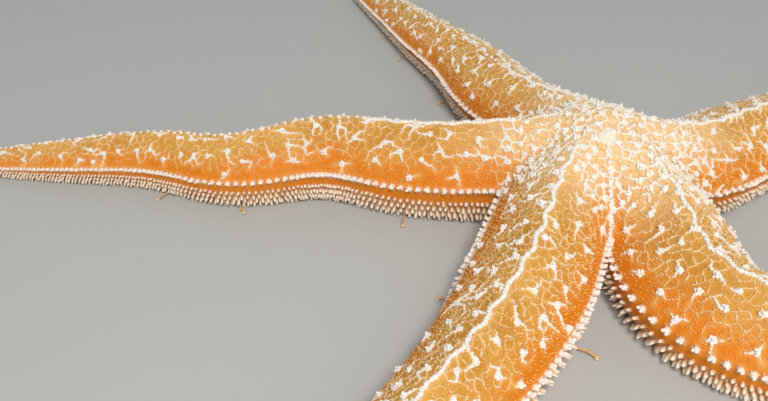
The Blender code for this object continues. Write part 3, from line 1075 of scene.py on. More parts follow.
@dataclass(frozen=True)
class SkinFinish:
    """The soft, wet flesh, pale where the net lies under it."""

    flesh: Flesh = Flesh()
    pale: Colour = colour(238, 192, 120)
    speck: Colour = colour(240, 188, 104)

    def build(self) -> bpy.types.Material:
        """Makes the material.

        Returns:
            The material.
        """
        g = Graph("skin_finish")
        flesh = self.flesh.build(g)
        girth = g.attribute("girth")
        net = g.attribute("net")
        patchy = g.noise(420.0, 2.0)
        specks = 1.0 - g.cells(1150.0).ease(0.16, 0.42)
        stipple = specks * (1.0 - girth.ease(2.0, 3.0)) * (1.0 - net).clamp()
        flesh = g.mix(stipple * 0.25, flesh, self.speck)
        flesh = g.mix((net * (0.35 + patchy * 0.5)).clamp(), flesh, self.pale)
        grain = g.noise(1900.0, 2.0)
        return g.finish(
            Base_Color=flesh,
            Roughness=0.50 + grain * 0.22,
            Specular_IOR_Level=0.16,
            Normal=g.bump(grain * 0.7 + specks * 0.2, 0.4, 0.00025),
            Subsurface_Weight=0.08,
            Subsurface_Radius=FLESH_SOFTNESS,
            Coat_Weight=0.03,
            Coat_Roughness=0.3,
        )


@dataclass(frozen=True)
class HardFinish:
    """Bone-like spines and bars: flesh-coloured at the root and white at the tip."""

    name: str
    flesh: Flesh = Flesh()
    root: Colour = colour(244, 200, 150)
    root_share: float = 0.45
    tip: Colour = colour(246, 243, 236)
    plain: Colour = colour(244, 208, 152)
    low: float = 0.0
    high: float = 0.6

    def build(self) -> bpy.types.Material:
        """Makes the material.

        Returns:
            The material.
        """
        g = Graph(self.name)
        rise = g.attribute("rise")
        white = g.attribute("white")
        tone = g.attribute("tone")
        grain = g.noise(1400.0, 2.0)
        root = g.mix((self.root_share + tone * 0.3).clamp(), self.flesh.build(g), self.root)
        tip = g.mix((white + grain * 0.3 - 0.15).clamp(), self.plain, self.tip)
        body = g.mix((rise + tone * 0.25).ease(self.low, self.high), root, tip)
        body = g.mix((0.10 * tone + grain * 0.12).clamp(), body, root)
        return g.finish(
            Base_Color=body,
            Roughness=0.42 + grain * 0.2,
            Normal=g.bump(grain, 0.3, 0.00012),
            Subsurface_Weight=0.08,
            Subsurface_Radius=BONE_SOFTNESS,
        )


@dataclass(frozen=True)
class BarFinish:
    """The net's bars: nearly flesh where they are faint, and white where they are strong."""

    flesh: Flesh = Flesh()
    faint: Colour = colour(236, 186, 112)
    strong: Colour = colour(246, 236, 214)

    def build(self) -> bpy.types.Material:
        """Makes the material.

        Returns:
            The material.
        """
        g = Graph("net_finish")
        white = g.attribute("white")
        tone = g.attribute("tone")
        grain = g.noise(1400.0, 2.0)
        body = g.mix((0.40 + white * 1.0 + tone * 0.2).clamp(), self.flesh.build(g), self.faint)
        body = g.mix((white + grain * 0.3 - 0.15).ease(0.45, 0.95), body, self.strong)
        return g.finish(
            Base_Color=body,
            Roughness=0.42 + grain * 0.2,
            Normal=g.bump(grain, 0.4, 0.00015),
            Subsurface_Weight=0.08,
            Subsurface_Radius=BONE_SOFTNESS,
        )


@dataclass(frozen=True)
class GillFinish:
    """Soft gills: the flesh's colour, lighter and clearer towards the tip, and lifted all over by painted
    light that offsets the shade on them.
    """

    flesh: Flesh = Flesh()
    clear: Colour = colour(248, 200, 120)

    def build(self) -> bpy.types.Material:
        """Makes the material.

        Returns:
            The material.
        """
        g = Graph("gill_finish")
        grain = g.noise(900.0, 2.0)
        # The fixed 0.12 is painted light: it pales the gills so that the shade on their small shapes does
        # not darken them.
        share = (g.attribute("rise") * 0.55 + g.attribute("tone") * 0.35 + grain * 0.1 + 0.12).clamp()
        return g.finish(
            Base_Color=g.mix(share, self.flesh.build(g), self.clear),
            Roughness=0.42 + grain * 0.15,
            Specular_IOR_Level=0.25,
            Subsurface_Weight=0.2,
            Subsurface_Radius=(0.0015, 0.0010, 0.0004),
        )


@dataclass(frozen=True)
class FootFinish:
    """Tube feet: clear amber stalks with faint rings, and paler suckers."""

    stalk: Colour = colour(222, 170, 112)
    ring: Colour = colour(196, 132, 78)
    sucker: Colour = colour(234, 200, 158)

    def build(self) -> bpy.types.Material:
        """Makes the material.

        Returns:
            The material.
        """
        g = Graph("foot_finish")
        rise = g.attribute("rise")
        tone = g.attribute("tone")
        grain = g.noise(700.0, 2.0)
        rings = (rise * 110.0).math("SINE") * 0.5 + 0.5
        body = g.mix((rings * 0.35 + tone * 0.3 + grain * 0.2).clamp(), self.stalk, self.ring)
        return g.finish(
            Base_Color=g.mix(rise.ease(0.86, 0.96), body, self.sucker),
            Roughness=0.34 + grain * 0.15,
            Normal=g.bump(rings, 0.3, 0.0001),
            Subsurface_Weight=0.3,
            Subsurface_Radius=FLESH_SOFTNESS,
        )


@dataclass(frozen=True)
class PlateFinish:
    """Limy plates and soft folds: one colour in the hollows and another on the heights."""

    name: str
    hollow: Colour
    height: Colour
    roughness: float = 0.5
    grain_scale: float = 1600.0

    def build(self) -> bpy.types.Material:
        """Makes the material.

        Returns:
            The material.
        """
        g = Graph(self.name)
        relief = g.attribute("relief")
        grain = g.noise(self.grain_scale, 3.0)
        body = g.mix((relief * 1.2 + grain * 0.5 - 0.35).clamp(), self.hollow, self.height)
        return g.finish(
            Base_Color=body,
            Roughness=self.roughness + grain * 0.2,
            Normal=g.bump(grain, 0.35, 0.00012),
            Subsurface_Weight=0.06,
            Subsurface_Radius=BONE_SOFTNESS,
        )


# The skin


@dataclass
class Skin:
    """The soft skin: five arms and a dome, grown together, with grooves and a mouth below."""

    body: Body
    ring_step: float = 0.002
    side_count: int = 20
    tip_room: float = 0.0014
    cut_depth: float = 0.003
    mouth_radius: float = 0.0085
    mouth_roof: float = 0.0085
    voxel: float = 0.00100
    smoothings: int = 4
    net_height: float = 0.00030
    net_reach: float = 0.0009
    crest_height: float = 0.00045
    crest_reach: float = 0.0013

    def arm_rings(self, course: Course) -> Array:
        """The sections of one arm, closing round its tip.

        Args:
            course: The arm's course.

        Returns:
            One row of points for each section.
        """
        end = FORM.length - self.tip_room
        stations = np.arange(FORM.start, end - FORM.tip_round, self.ring_step)
        turns = np.linspace(0.0, 0.46 * math.pi, 6)
        closing = end - FORM.tip_round + FORM.tip_round * np.sin(turns)
        shrink = np.concatenate([np.ones(len(stations)), np.cos(turns)])
        stations = np.concatenate([stations, closing])
        girth = np.linspace(0.0, 6.0, self.side_count)
        girth = np.concatenate([girth, girth[:0:-1]])
        sign = np.concatenate([np.ones(self.side_count), -np.ones(self.side_count - 1)])
        rings = []
        for station, share in zip(stations, shrink):
            spread = np.full(girth.shape, station)
            ring = course.surface(spread, girth, sign)
            middle = FORM.sole(station) + course.height(station) * 0.45
            core = course.place(np.array(station), course.shift(station, 0.45), middle)
            rings.append(core + (ring - core) * share)
        return np.array(rings)

    def groove_rings(self, course: Course) -> Array:
        """The sections of the round-roofed cutter that opens an arm's groove.

        Args:
            course: The arm's course.

        Returns:
            One row of points for each section.
        """
        stations = np.arange(FORM.step, FORM.length - FORM.tip_round, self.ring_step)
        turns = np.linspace(0.0, math.pi, 11)
        rings = []
        for station in stations:
            edge = FORM.side_shares[6] * course.half_width(station)
            base = FORM.sole(station) + FORM.sole_coat * FORM.scale(station) * 0.5
            roof = FORM.up_shares[7] * course.height(station)
            side = np.concatenate([[edge], edge * np.cos(turns), [-edge]])
            side = side + course.shift(station, FORM.up_shares[7] / 2)
            over = np.concatenate([[-self.cut_depth], base + roof * np.sin(turns), [-self.cut_depth]])
            rings.append(course.place(np.full(side.shape, station), side, over))
        return np.array(rings)

    def dome(self) -> bpy.types.Object:
        """The swelling over the middle of the disc.

        Returns:
            The linked body.
        """
        radii = np.linspace(0.0, DOME.radius, 10)
        floor = 2 * self.cut_depth
        profile = [*zip(radii, DOME.height_at(radii)), (DOME.radius, floor), (0.0, floor)]
        made = object_from(turned(profile, DOME.steps), "skin")
        made.data.transform(Matrix.Translation(self.body.middle))
        return made

    def mouth_cutter(self) -> bpy.types.Object:
        """The round opening under the disc.

        Returns:
            The linked cutter.
        """
        profile = [(0.0, -self.cut_depth), (self.mouth_radius, -self.cut_depth),
                   (self.mouth_radius, self.mouth_roof * 0.7), (self.mouth_radius * 0.8, self.mouth_roof),
                   (0.0, self.mouth_roof)]
        made = object_from(turned(profile, 32), "mouth_cutter")
        made.data.transform(Matrix.Translation(self.body.middle))
        return made

    def build(self) -> bpy.types.Object:
        """Makes the smooth skin, before its relief.

        Returns:
            The linked piece.
        """
        made = self.dome()
        arms = [loft("arm", self.arm_rings(course)) for course in self.body.courses]
        combine(made, arms, "UNION")
        cutters = [loft("groove", self.groove_rings(course)) for course in self.body.courses]
        combine(made, [*cutters, self.mouth_cutter()], "DIFFERENCE")
        modifier = made.modifiers.new("grow", "REMESH")
        modifier.mode = "VOXEL"
        modifier.voxel_size = self.voxel
        made.data = evaluated(made)
        made.modifiers.clear()
        bm = bmesh.new()
        bm.from_mesh(made.data)
        for _ in range(self.smoothings):
            bmesh.ops.smooth_vert(bm, verts=bm.verts, factor=0.5,
                                  use_axis_x=True, use_axis_y=True, use_axis_z=True)
        bm.to_mesh(made.data)
        bm.free()
        made.data.shade_smooth()
        return made

    def emboss(self, made: bpy.types.Object, spots: Spots, lines: Array, strengths: Array,
               crest: Array) -> None:
        """Raises the skin under the net and the rows, and stores where they are.

        Args:
            made: The skin.
            spots: The place of each of its vertices.
            lines: Points along the net's bars.
            strengths: How strong the net is at each.
            crest: Points along the rows on the ridges and the upper margins.
        """
        points, normals = read_points(made.data), read_points(made.data, "normal")
        tree = tree_of(lines)
        gaps = np.array([tree.find(point)[1:] for point in points])
        strength = strengths[gaps[:, 0].astype(int)]
        near_net = np.exp(-((gaps[:, 1] / self.net_reach) ** 2)) * strength
        tree = tree_of(crest)
        gaps = np.array([tree.find(point)[2] for point in points])
        near_crest = np.exp(-((gaps / self.crest_reach) ** 2))
        lift = near_net * self.net_height + near_crest * self.crest_height
        points = points + normals * lift[:, None]
        made.data.vertices.foreach_set("co", points.astype(np.float32).ravel())
        made.data.update()
        write_floats(made.data, "net", np.clip(near_net + near_crest * 0.8, 0.0, 1.0))
        write_floats(made.data, "girth", spots.girth)
        write_floats(made.data, "station", spots.station)


# The net of ridges over the back


@dataclass
class BackNet:
    """The open net of small bars in the skin of the back, most of them faint.

    Heads are joints where chains of thick white bars meet. The cell is the width of a mesh at full
    size. Strengths run from 0 to 1: faint, middling and white bars each draw theirs from a range.
    The disc has its own gaps between heads, and a share of lone white bars. Away is how far along
    its chain each end of a white bar lies.
    """

    body: Body
    draw: np.random.Generator
    cell: float = 0.0022
    flank_growth: float = 0.25
    lowest_girth: float = 2.8
    least_strength: float = 0.21
    strong: float = 0.8
    faint: tuple[float, float] = (0.16, 0.40)
    middling: tuple[float, float] = (0.45, 0.68)
    middling_share: float = 0.25
    white: tuple[float, float] = (0.84, 1.0)
    flank_fade: float = 0.75
    flank_girth: float = 1.7
    half_width: float = 0.00068
    half_depth: float = 0.00046
    head_gap: float = 0.0058
    disc_head_gap: float = 0.0032
    disc_reach: float = 0.030
    disc_share: float = 0.20
    disc_growth: float = 0.24
    disc_away: float = 0.40
    chain_count: tuple[int, int] = (1, 4)
    chain_reach: tuple[float, float] = (0.0022, 0.0080)
    waver: float = 0.25
    flank_reach: float = 0.55
    seed_room: float = 0.35
    head_room: float = 0.25
    owner_room: float = 0.6
    shortest_bar: float = 0.12
    longest_bar: float = 2.5
    bars: Array = field(init=False)
    strengths: Array = field(init=False)
    joints: Array = field(init=False)
    heads: Array = field(init=False)
    away: Array = field(init=False)

    def cell_size(self, spots: Spots) -> Array:
        """How wide the net's meshes are at each place."""
        flank = smoothstep((spots.girth - 1.2) / 1.6)
        return self.cell * FORM.scale(spots.station) ** 1.2 * (1.0 + self.flank_growth * flank)

    def seeds(self, points: Array, spots: Spots) -> Array:
        """Scatters the middles of the meshes, each clear of its neighbours.

        Args:
            points: The skin's vertices.
            spots: The place of each.

        Returns:
            The middles.
        """
        sizes = self.cell_size(spots)
        usable = np.flatnonzero(spots.girth < self.lowest_girth + self.seed_room)
        order = self.draw.permutation(usable)
        grid: dict[tuple[int, int, int], list[int]] = defaultdict(list)
        edge = float(sizes.max())
        chosen = []
        for index in order:
            point = points[index]
            key = tuple((point // edge).astype(int))
            around = ((key[0] + i, key[1] + j, key[2] + k)
                      for i in (-1, 0, 1) for j in (-1, 0, 1) for k in (-1, 0, 1))
            rivals = [other for near in around for other in grid.get(near, ())]
            if rivals and ((points[rivals] - point) ** 2).sum(1).min() < sizes[index] ** 2:
                continue
            grid[key].append(index)
            chosen.append(index)
        return points[chosen]

    def weave(self, skin: bpy.types.Object, spots: Spots) -> None:
        """Finds the borders between the meshes, as bars from joint to joint.

        Args:
            skin: The smooth skin.
            spots: The place of each of its vertices.
        """
        points = read_points(skin.data)
        tree = tree_of(self.seeds(points, spots))
        owner = np.full(len(points), -1)
        for index in np.flatnonzero(spots.girth < self.lowest_girth + self.owner_room):
            owner[index] = tree.find(points[index])[1]
        corners = np.zeros(len(skin.data.loops), np.int32)
        skin.data.loops.foreach_get("vertex_index", corners)
        faces = corners.reshape(-1, 4)
        owners = np.sort(owner[faces], axis=1)
        kinds = (np.diff(owners, axis=1) != 0).sum(1) + 1
        meeting: dict[tuple[int, ...], list[Array]] = defaultdict(list)
        for face in np.flatnonzero((kinds >= 3) & (owners[:, 0] >= 0)):
            meeting[tuple(np.unique(owners[face]))].append(points[faces[face]].mean(0))
        self.joints = np.array([np.mean(found, axis=0) for found in meeting.values()])
        self.joint_spots = self.body.locate(self.joints)
        sharing: dict[tuple[int, int], list[int]] = defaultdict(list)
        for index, owners_here in enumerate(meeting):
            for pair in combinations(owners_here, 2):
                sharing[pair].append(index)
        pairs = np.array([found[:2] for found in sharing.values() if len(found) >= 2])
        ends = self.joints[pairs]
        lengths = np.linalg.norm(ends[:, 0] - ends[:, 1], axis=1)
        bar_spots = self.body.locate(ends.mean(1))
        kept = (lengths > self.cell * self.shortest_bar) & (lengths < self.cell * self.longest_bar)
        kept &= bar_spots.girth < self.lowest_girth
        pairs, ends, bar_spots = pairs[kept], ends[kept], bar_spots.pick(kept)
        self.heads = self.pick_heads()
        strengths = self.rank(pairs, bar_spots)
        kept = strengths > self.least_strength
        self.bars, self.bar_spots, self.strengths = ends[kept], bar_spots.pick(kept), strengths[kept]
        self.away = self.away[kept]

    def pick_heads(self) -> Array:
        """Picks the joints that carry white heads, well apart.

        Returns:
            The numbers of the joints.
        """
        chosen: list[int] = []
        for index in self.draw.permutation(len(self.joints)):
            girth, station = self.joint_spots.girth[index], self.joint_spots.station[index]
            gap = self.head_gap * (1.0 + 0.35 * float(smoothstep((girth - 1.4) / 1.2)))
            if station < self.disc_reach:
                gap = self.disc_head_gap
            gap *= float(FORM.scale(np.array(station)))
            if girth > self.lowest_girth - self.head_room:
                continue
            away = self.joints[chosen] - self.joints[index] if chosen else None
            if away is None or (away**2).sum(1).min() > gap**2:
                chosen.append(int(index))
        return np.array(chosen)

    def rank(self, pairs: Array, spots: Spots) -> Array:
        """Decides how strong each bar is.

        Args:
            pairs: The joints at each bar's ends.
            spots: Where each bar is.

        Returns:
            Strengths from 0 to 1: most are faint, and the chains at the heads are strong.
        """
        count = len(pairs)
        fade = 1.0 - self.flank_fade * smoothstep((spots.girth - 1.5) / 1.1)
        faint = self.draw.uniform(*self.faint, count)
        middling = self.draw.uniform(*self.middling, count)
        strengths = np.where(self.draw.random(count) < self.middling_share, middling, faint) * fade
        strengths += self.disc_growth * (1.0 - smoothstep(spots.station / self.disc_reach - 0.5))
        at_joint: dict[int, list[int]] = defaultdict(list)
        for bar, ends in enumerate(pairs):
            for joint in ends:
                at_joint[joint].append(bar)
        self.away = np.full((count, 2), np.nan)
        lone = (spots.station < self.disc_reach) & (self.draw.random(count) < self.disc_share)
        self.away[lone] = self.disc_away
        for head in self.heads:
            for bar in self.draw.permutation(at_joint[head])[: self.draw.integers(*self.chain_count)]:
                self.walk(int(head), int(bar), pairs, at_joint)
        chains = ~np.isnan(self.away[:, 0])
        strengths[chains] = self.draw.uniform(*self.white, int(chains.sum()))
        return strengths

    def walk(self, joint: int, bar: int, pairs: Array, at_joint: dict[int, list[int]]) -> None:
        """Runs a chain of white bars from a head, until it has thinned out.

        Args:
            joint: The head's joint.
            bar: The chain's first bar.
            pairs: The joints at each bar's ends.
            at_joint: The bars that meet at each joint.
        """
        spot = self.joint_spots
        reach = self.draw.uniform(*self.chain_reach) * float(FORM.scale(spot.station[joint]))
        reach *= self.flank_reach if spot.girth[joint] > self.flank_girth else 1.0
        walked = 0.0
        while walked < reach * 0.8:
            backward = pairs[bar][0] != joint
            far = int(pairs[bar].sum() - joint)
            step = self.joints[far] - self.joints[joint]
            shares = np.array([walked, walked + np.linalg.norm(step)]) / reach
            if np.isnan(self.away[bar, 0]):
                self.away[bar] = shares[::-1] if backward else shares
            walked = shares[1] * reach
            onward = [other for other in at_joint[far] if other != bar]
            if not onward:
                break
            ahead = unit(self.joints[pairs[onward].sum(1) - far] - self.joints[far]) @ unit(step)
            ahead = ahead + self.draw.normal(0.0, self.waver, len(onward))
            joint, bar = far, onward[int(np.argmax(ahead))]

    def samples(self) -> tuple[Array, Array]:
        """Points along all bars, and the strength at each.

        Returns:
            The points and the strengths.
        """
        shares = np.linspace(0.0, 1.0, 7)[None, :, None]
        points = self.bars[:, :1] * (1.0 - shares) + self.bars[:, 1:] * shares
        return points.reshape(-1, 3), np.repeat(self.strengths, shares.size)

    def along(self, chosen: Array, pitch: float) -> tuple[Array, Array, Array]:
        """Places at even steps along some of the bars.

        Args:
            chosen: Which bars.
            pitch: The step where the arms are widest, in metres.

        Returns:
            The points, the bar of each, and the share of the bar before each.
        """
        lengths = np.linalg.norm(self.bars[chosen, 0] - self.bars[chosen, 1], axis=1)
        steps = pitch * FORM.scale(self.bar_spots.station[chosen])
        counts = np.maximum(np.round(lengths / steps), 1).astype(int)
        which = np.repeat(np.arange(len(counts)), counts)
        number = np.arange(len(which)) - np.repeat(np.cumsum(counts) - counts, counts)
        share = (number + self.draw.uniform(0.25, 0.75, len(which))) / counts[which]
        bar = chosen[which]
        points = self.bars[bar, 0] * (1.0 - share[:, None]) + self.bars[bar, 1] * share[:, None]
        return points, bar, share

    def grow(self, ground: Ground) -> Growth:
        """The bars themselves, half sunk into the skin.

        Args:
            ground: The finished skin.

        Returns:
            The bars.
        """
        flat, square = ground.settle(self.bars.reshape(-1, 3))
        paths = flat.reshape(-1, 2, 3)
        normals = square.reshape(-1, 2, 3)
        away = np.clip(self.away.mean(1), 0.0, 1.0)
        strengths = np.where(np.isnan(away), self.strengths, 1.0 - 0.70 * away)
        size = FORM.scale(self.bar_spots.station) * (0.30 + 0.70 * strengths)
        grown = Growth(Form.BAR)
        grown.add(paths, normals, self.half_depth * size, self.half_width * size, self.bar_spots,
                  strengths)
        return grown


# Rows of plates, spines and feet


@dataclass(frozen=True)
class Line:
    """A line of small plates along every arm, at one girth.

    The phase moves the line along by parts of its pitch. The zigzag moves the plates of the
    ridge from side to side. A line that climbs runs up between two arms on to the disc. Every
    second plate is left out where the margin's drop is beyond a limit, up or down.
    """

    girth: float
    pitch: float
    phase: float = 0.0
    start: float = 0.014
    end: float = 0.221
    zigzag: float = 0.0
    zigzag_length: int = 9
    climbs: bool = False
    thinned_from: float = math.inf


@dataclass(frozen=True)
class Tuft:
    """A group of like spines about one place of a line, at full size.

    Places are metres along the arm and metres away from its ridge. The rise is the spines'
    angle over the floor, or none where they stand square to the skin. The fan is how far they
    lean away from the middle.
    """

    places: tuple[tuple[float, float], ...]
    length: float
    radius: float
    flatness: float = 1.0
    rise: float | None = None
    fan: float = 0.0
    white: float = 1.0
    lift: float = 0.0
    scatter: float = 0.0001
    rise_spread: float = 4.0


def circle(count: int, radius: float, flat: float = 1.0) -> tuple[tuple[float, float], ...]:
    """Places round a group's middle."""
    turns = [math.tau * (index + 0.5) / count for index in range(count)]
    return tuple((math.cos(turn) * radius, math.sin(turn) * radius * flat) for turn in turns)


ALONE = ((0.0, 0.0),)
RIDGE_LINE = Line(girth=0.0, pitch=0.00105, zigzag=0.075)
CLIMB_LINE = Line(girth=3.0, pitch=0.00115, start=0.004, end=0.070, climbs=True)
UPPER_LINE = Line(girth=3.0, pitch=0.00245, start=0.004, thinned_from=0.5)
# Each comb and sole line stands with its spines' angle over the floor and their length.
COMB_LINES = tuple(
    (Line(girth, pitch=0.00172, phase=phase, start=0.026, thinned_from=0.03), rise, length)
    for girth, phase, rise, length in ((3.60, 0.0, 4.0, 0.0017), (3.88, 0.5, -10.0, 0.0022),
                                       (4.22, 0.0, -24.0, 0.0027), (4.62, 0.5, -42.0, 0.0027))
)
SOLE_LINES = (
    (Line(girth=5.00, pitch=0.00210, start=0.016), -50.0, 0.0024),
    (Line(girth=5.22, pitch=0.00250, start=0.016, phase=0.3), -58.0, 0.0018),
    (Line(girth=5.42, pitch=0.00210, start=0.014, phase=0.5), -65.0, 0.0020),
    (Line(girth=5.78, pitch=0.00150, start=0.0125), -78.0, 0.0022),
)
FOOT_LINES = tuple(
    Line(girth=girth, pitch=0.0032, phase=phase, start=0.012, end=0.212)
    for girth, phase in ((6.36, 0.0), (6.72, 0.5))
)

RIDGE_SPINES = Tuft(circle(3, 0.00032), length=0.00095, radius=0.00032, fan=0.2, white=0.95)
UPPER_SPINES = Tuft(((-0.00030, 0.0), (0.00032, 0.00006)), length=0.00190, radius=0.00052, rise=20.0,
                    fan=0.1)
COMB_RADIUS = 0.00068
CUSHION_LENGTH = 0.0008
CUSHION_RADIUS = 0.00100
SOLE_RADIUS = 0.00046
RIDGE_BOSS = (0.00075, 0.00086, 0.00074)
UPPER_BOSS = (0.00105, 0.00104, 0.00100)
UPPER_WREATH = Tuft(circle(7, 0.00090), length=0.00075, radius=0.00034, rise=14.0, fan=0.6,
                    white=0.5)


@dataclass
class Lines:
    """Where the plates of each line sit on the animal.

    Lines over the sole's girth show wherever their arm lies lowest on the floor. The others show
    where their arm's flank is clear of its neighbours, or climb up the edge where it is not. Where
    a margin hangs low, the lines over the hung girth are pushed down towards it.
    """

    body: Body
    step: float = 0.001
    near_disc: tuple[float, float] = (0.002, 0.070)
    margin_girth: float = 3.0
    clear_reach: float = 2.95
    sole_girth: float = 4.9
    hung_girth: float = 4.6
    hung_span: float = 1.6
    limits: dict = field(default_factory=dict)

    def __post_init__(self) -> None:
        """Finds how far round each arm shows near the disc."""
        stations = np.arange(*self.near_disc, self.step)
        for arm in range(len(self.body.courses)):
            for sign in (1.0, -1.0):
                reach = self.body.reach(arm, stations, sign)
                near = np.pad(np.minimum(reach, self.margin_girth), 2, "edge")
                self.limits[arm, sign] = (stations, np.convolve(near, np.ones(5) / 5, "valid"))

    def stations(self, line: Line) -> Array:
        """Where the line's plates sit, closer together towards the tip.

        Args:
            line: The line.

        Returns:
            Their distances from the disc's centre.
        """
        found = [line.start + line.phase * line.pitch]
        while found[-1] < line.end:
            found.append(found[-1] + line.pitch * float(FORM.scale(np.array(found[-1]))))
        return np.array(found[:-1])

    def ridge(self, line: Line, arm: int, stations: Array) -> Spots:
        """The zigzag band on one ridge, broken up into dots towards the tip.

        Args:
            line: The line.
            arm: The arm's number.
            stations: Where the plates would sit.

        Returns:
            The places of those that show.
        """
        plan = ARM_PLANS[arm]
        number = np.arange(len(stations))
        beyond = stations > plan.band_break
        shown = (stations > plan.band_start) & (~beyond | (number % 3 == 0))
        turn = number / line.zigzag_length + arm * 0.37
        wave = line.zigzag * (4.0 * np.abs(turn - np.floor(turn + 0.5)) - 1.0)
        sign = np.where(wave < 0.0, -1.0, 1.0)
        return Spots(np.full(len(stations), arm), stations, sign, np.abs(wave)).pick(shown)

    def spots(self, line: Line) -> Spots:
        """The places of all plates of the line, on both sides of every arm.

        Args:
            line: The line.

        Returns:
            The places.
        """
        found = []
        stations = self.stations(line)
        for arm, plan in enumerate(ARM_PLANS):
            if line.girth == 0.0:
                found.append(self.ridge(line, arm, stations))
                continue
            for side, sign in enumerate((1.0, -1.0)):
                reach = np.interp(stations, *self.limits[arm, sign])
                count = len(stations)
                girth = np.full(count, line.girth)
                shown = reach > self.clear_reach
                if line.climbs:
                    shown = ~shown & (reach > plan.climbs[side])
                    girth = reach
                if line.girth > self.sole_girth:
                    points = self.body.courses[arm].surface(stations, girth, np.full(count, sign))
                    shown = self.body.locate(points).arm == arm
                spots = Spots(np.full(count, arm), stations, np.full(count, sign), girth)
                drop = spots.drop()
                if line.girth < self.hung_girth:
                    hung = (self.hung_girth - line.girth) / self.hung_span
                    spots.girth = girth + np.maximum(drop, 0.0) * hung
                shown &= (np.abs(drop) <= line.thinned_from) | (np.arange(count) % 2 == 0)
                found.append(spots.pick(shown))
        return Spots.join(found)


@dataclass
class Rows:
    """Sets bosses and spines on the lines' plates.

    The fold is how many degrees a margin's drop turns its spines down, as far as the steepest.
    Spines stand square to the skin on the back, and lean more and more outwards from the square
    girth on. The sway strews their directions, and the sizes their lengths and radii.
    """

    body: Body
    ground: Ground
    draw: np.random.Generator
    floor_gap: float = 0.0002
    fold: float = 130.0
    steepest: float = -80.0
    square_girth: float = 1.8
    square_span: float = 1.2
    sway: float = 0.08
    sizes: tuple[float, float] = (0.88, 1.12)
    swell_rate: float = 2400.0
    shortest: float = 0.0003

    def seats(self, heads: Spots, places: tuple[tuple[float, float], ...],
              scatter: float) -> tuple[Spots, Array, Array, Array, Array]:
        """Finds the seats of a tuft's spines about every head.

        Args:
            heads: The middles of the tufts.
            places: Where the spines of a tuft stand, in metres at full size.
            scatter: How far they stray.

        Returns:
            The spots, the roots on the skin, the skin's normals, the directions along the arms,
            and the leans away from each tuft's middle.
        """
        count = len(heads.arm)
        spots = heads.pick(np.repeat(np.arange(count), len(places)))
        offset = np.tile(np.array(places), (count, 1))
        reach = max(float(np.linalg.norm(places, axis=1).max()), 1e-6)
        stray = self.draw.normal(0.0, scatter, offset.shape)
        scale = FORM.scale(spots.station)[:, None]
        forward = np.cross(self.body.across(spots), UP)
        middles, normals = self.ground.settle(self.body.surface(spots))
        outer = unit(np.cross(normals, forward)) * spots.sign[:, None]
        moved = offset * scale + stray * scale
        away = forward * moved[:, :1] + outer * moved[:, 1:]
        roots, normals = self.ground.settle(middles + away)
        leans = (forward * offset[:, :1] + outer * offset[:, 1:]) / reach
        return spots, roots, normals, forward, leans

    def bosses(self, heads: Spots, size: tuple[float, float, float], white: float, plates: Growth,
               swell: float = 0.0) -> None:
        """Adds a rounded boss at every head.

        Args:
            heads: Where the bosses stand.
            size: Their height, half length and half width at full size.
            white: How white they are.
            plates: What they are added to.
            swell: How much they grow and shrink along the line.
        """
        spots, roots, normals, forward, _ = self.seats(heads, ALONE, 0.0)
        count = len(roots)
        scale = FORM.scale(spots.station) * self.draw.uniform(0.9, 1.1, count)
        scale = scale * (1.0 + swell * np.sin(spots.station * self.swell_rate + spots.arm * 2.0))
        plates.stand(roots, normals, size[0] * scale, forward, size[1] * scale, size[2] * scale,
                     spots, np.full(count, white))

    def grow(self, heads: Spots, tuft: Tuft, growth: Growth) -> None:
        """Adds a tuft at every head.

        Args:
            heads: Where the tufts stand.
            tuft: The tuft.
            growth: What its spines are added to.
        """
        spots, roots, normals, forward, leans = self.seats(heads, tuft.places, tuft.scatter)
        count = len(roots)
        scale = FORM.scale(spots.station)
        directions = normals
        if tuft.rise is not None:
            rise = tuft.rise - self.fold * spots.drop() + self.draw.normal(0.0, tuft.rise_spread, count)
            rise = np.radians(np.maximum(rise, self.steepest))
            outward = self.body.outward(spots)
            set_out = outward * np.cos(rise)[:, None] + UP * np.sin(rise)[:, None]
            share = smoothstep((spots.girth - self.square_girth) / self.square_span)[:, None]
            directions = normals * (1.0 - share) + set_out * share
        directions = directions + leans * tuft.fan + self.draw.normal(0.0, self.sway, (count, 3))
        directions = unit(directions)
        lengths = tuft.length * scale * self.draw.uniform(*self.sizes, count)
        drop = np.maximum((roots[:, 2] - self.floor_gap) / lengths, 0.0)
        directions[:, 2] = np.maximum(directions[:, 2], -drop)
        directions = unit(directions)
        fall = np.maximum(-directions[:, 2], 1e-6)
        free = np.where(directions[:, 2] < 0.0, (roots[:, 2] - self.floor_gap) / fall, 1.0)
        lengths = np.maximum(np.minimum(lengths, free), self.shortest)
        lengths = self.ground.room(roots, directions, lengths)
        radii = tuft.radius * scale * self.draw.uniform(*self.sizes, count)
        white = np.clip(tuft.white + self.draw.normal(0.0, 0.08, count), 0.0, 1.0)
        growth.stand(roots, directions, lengths, forward, radii, radii * tuft.flatness, spots, white)


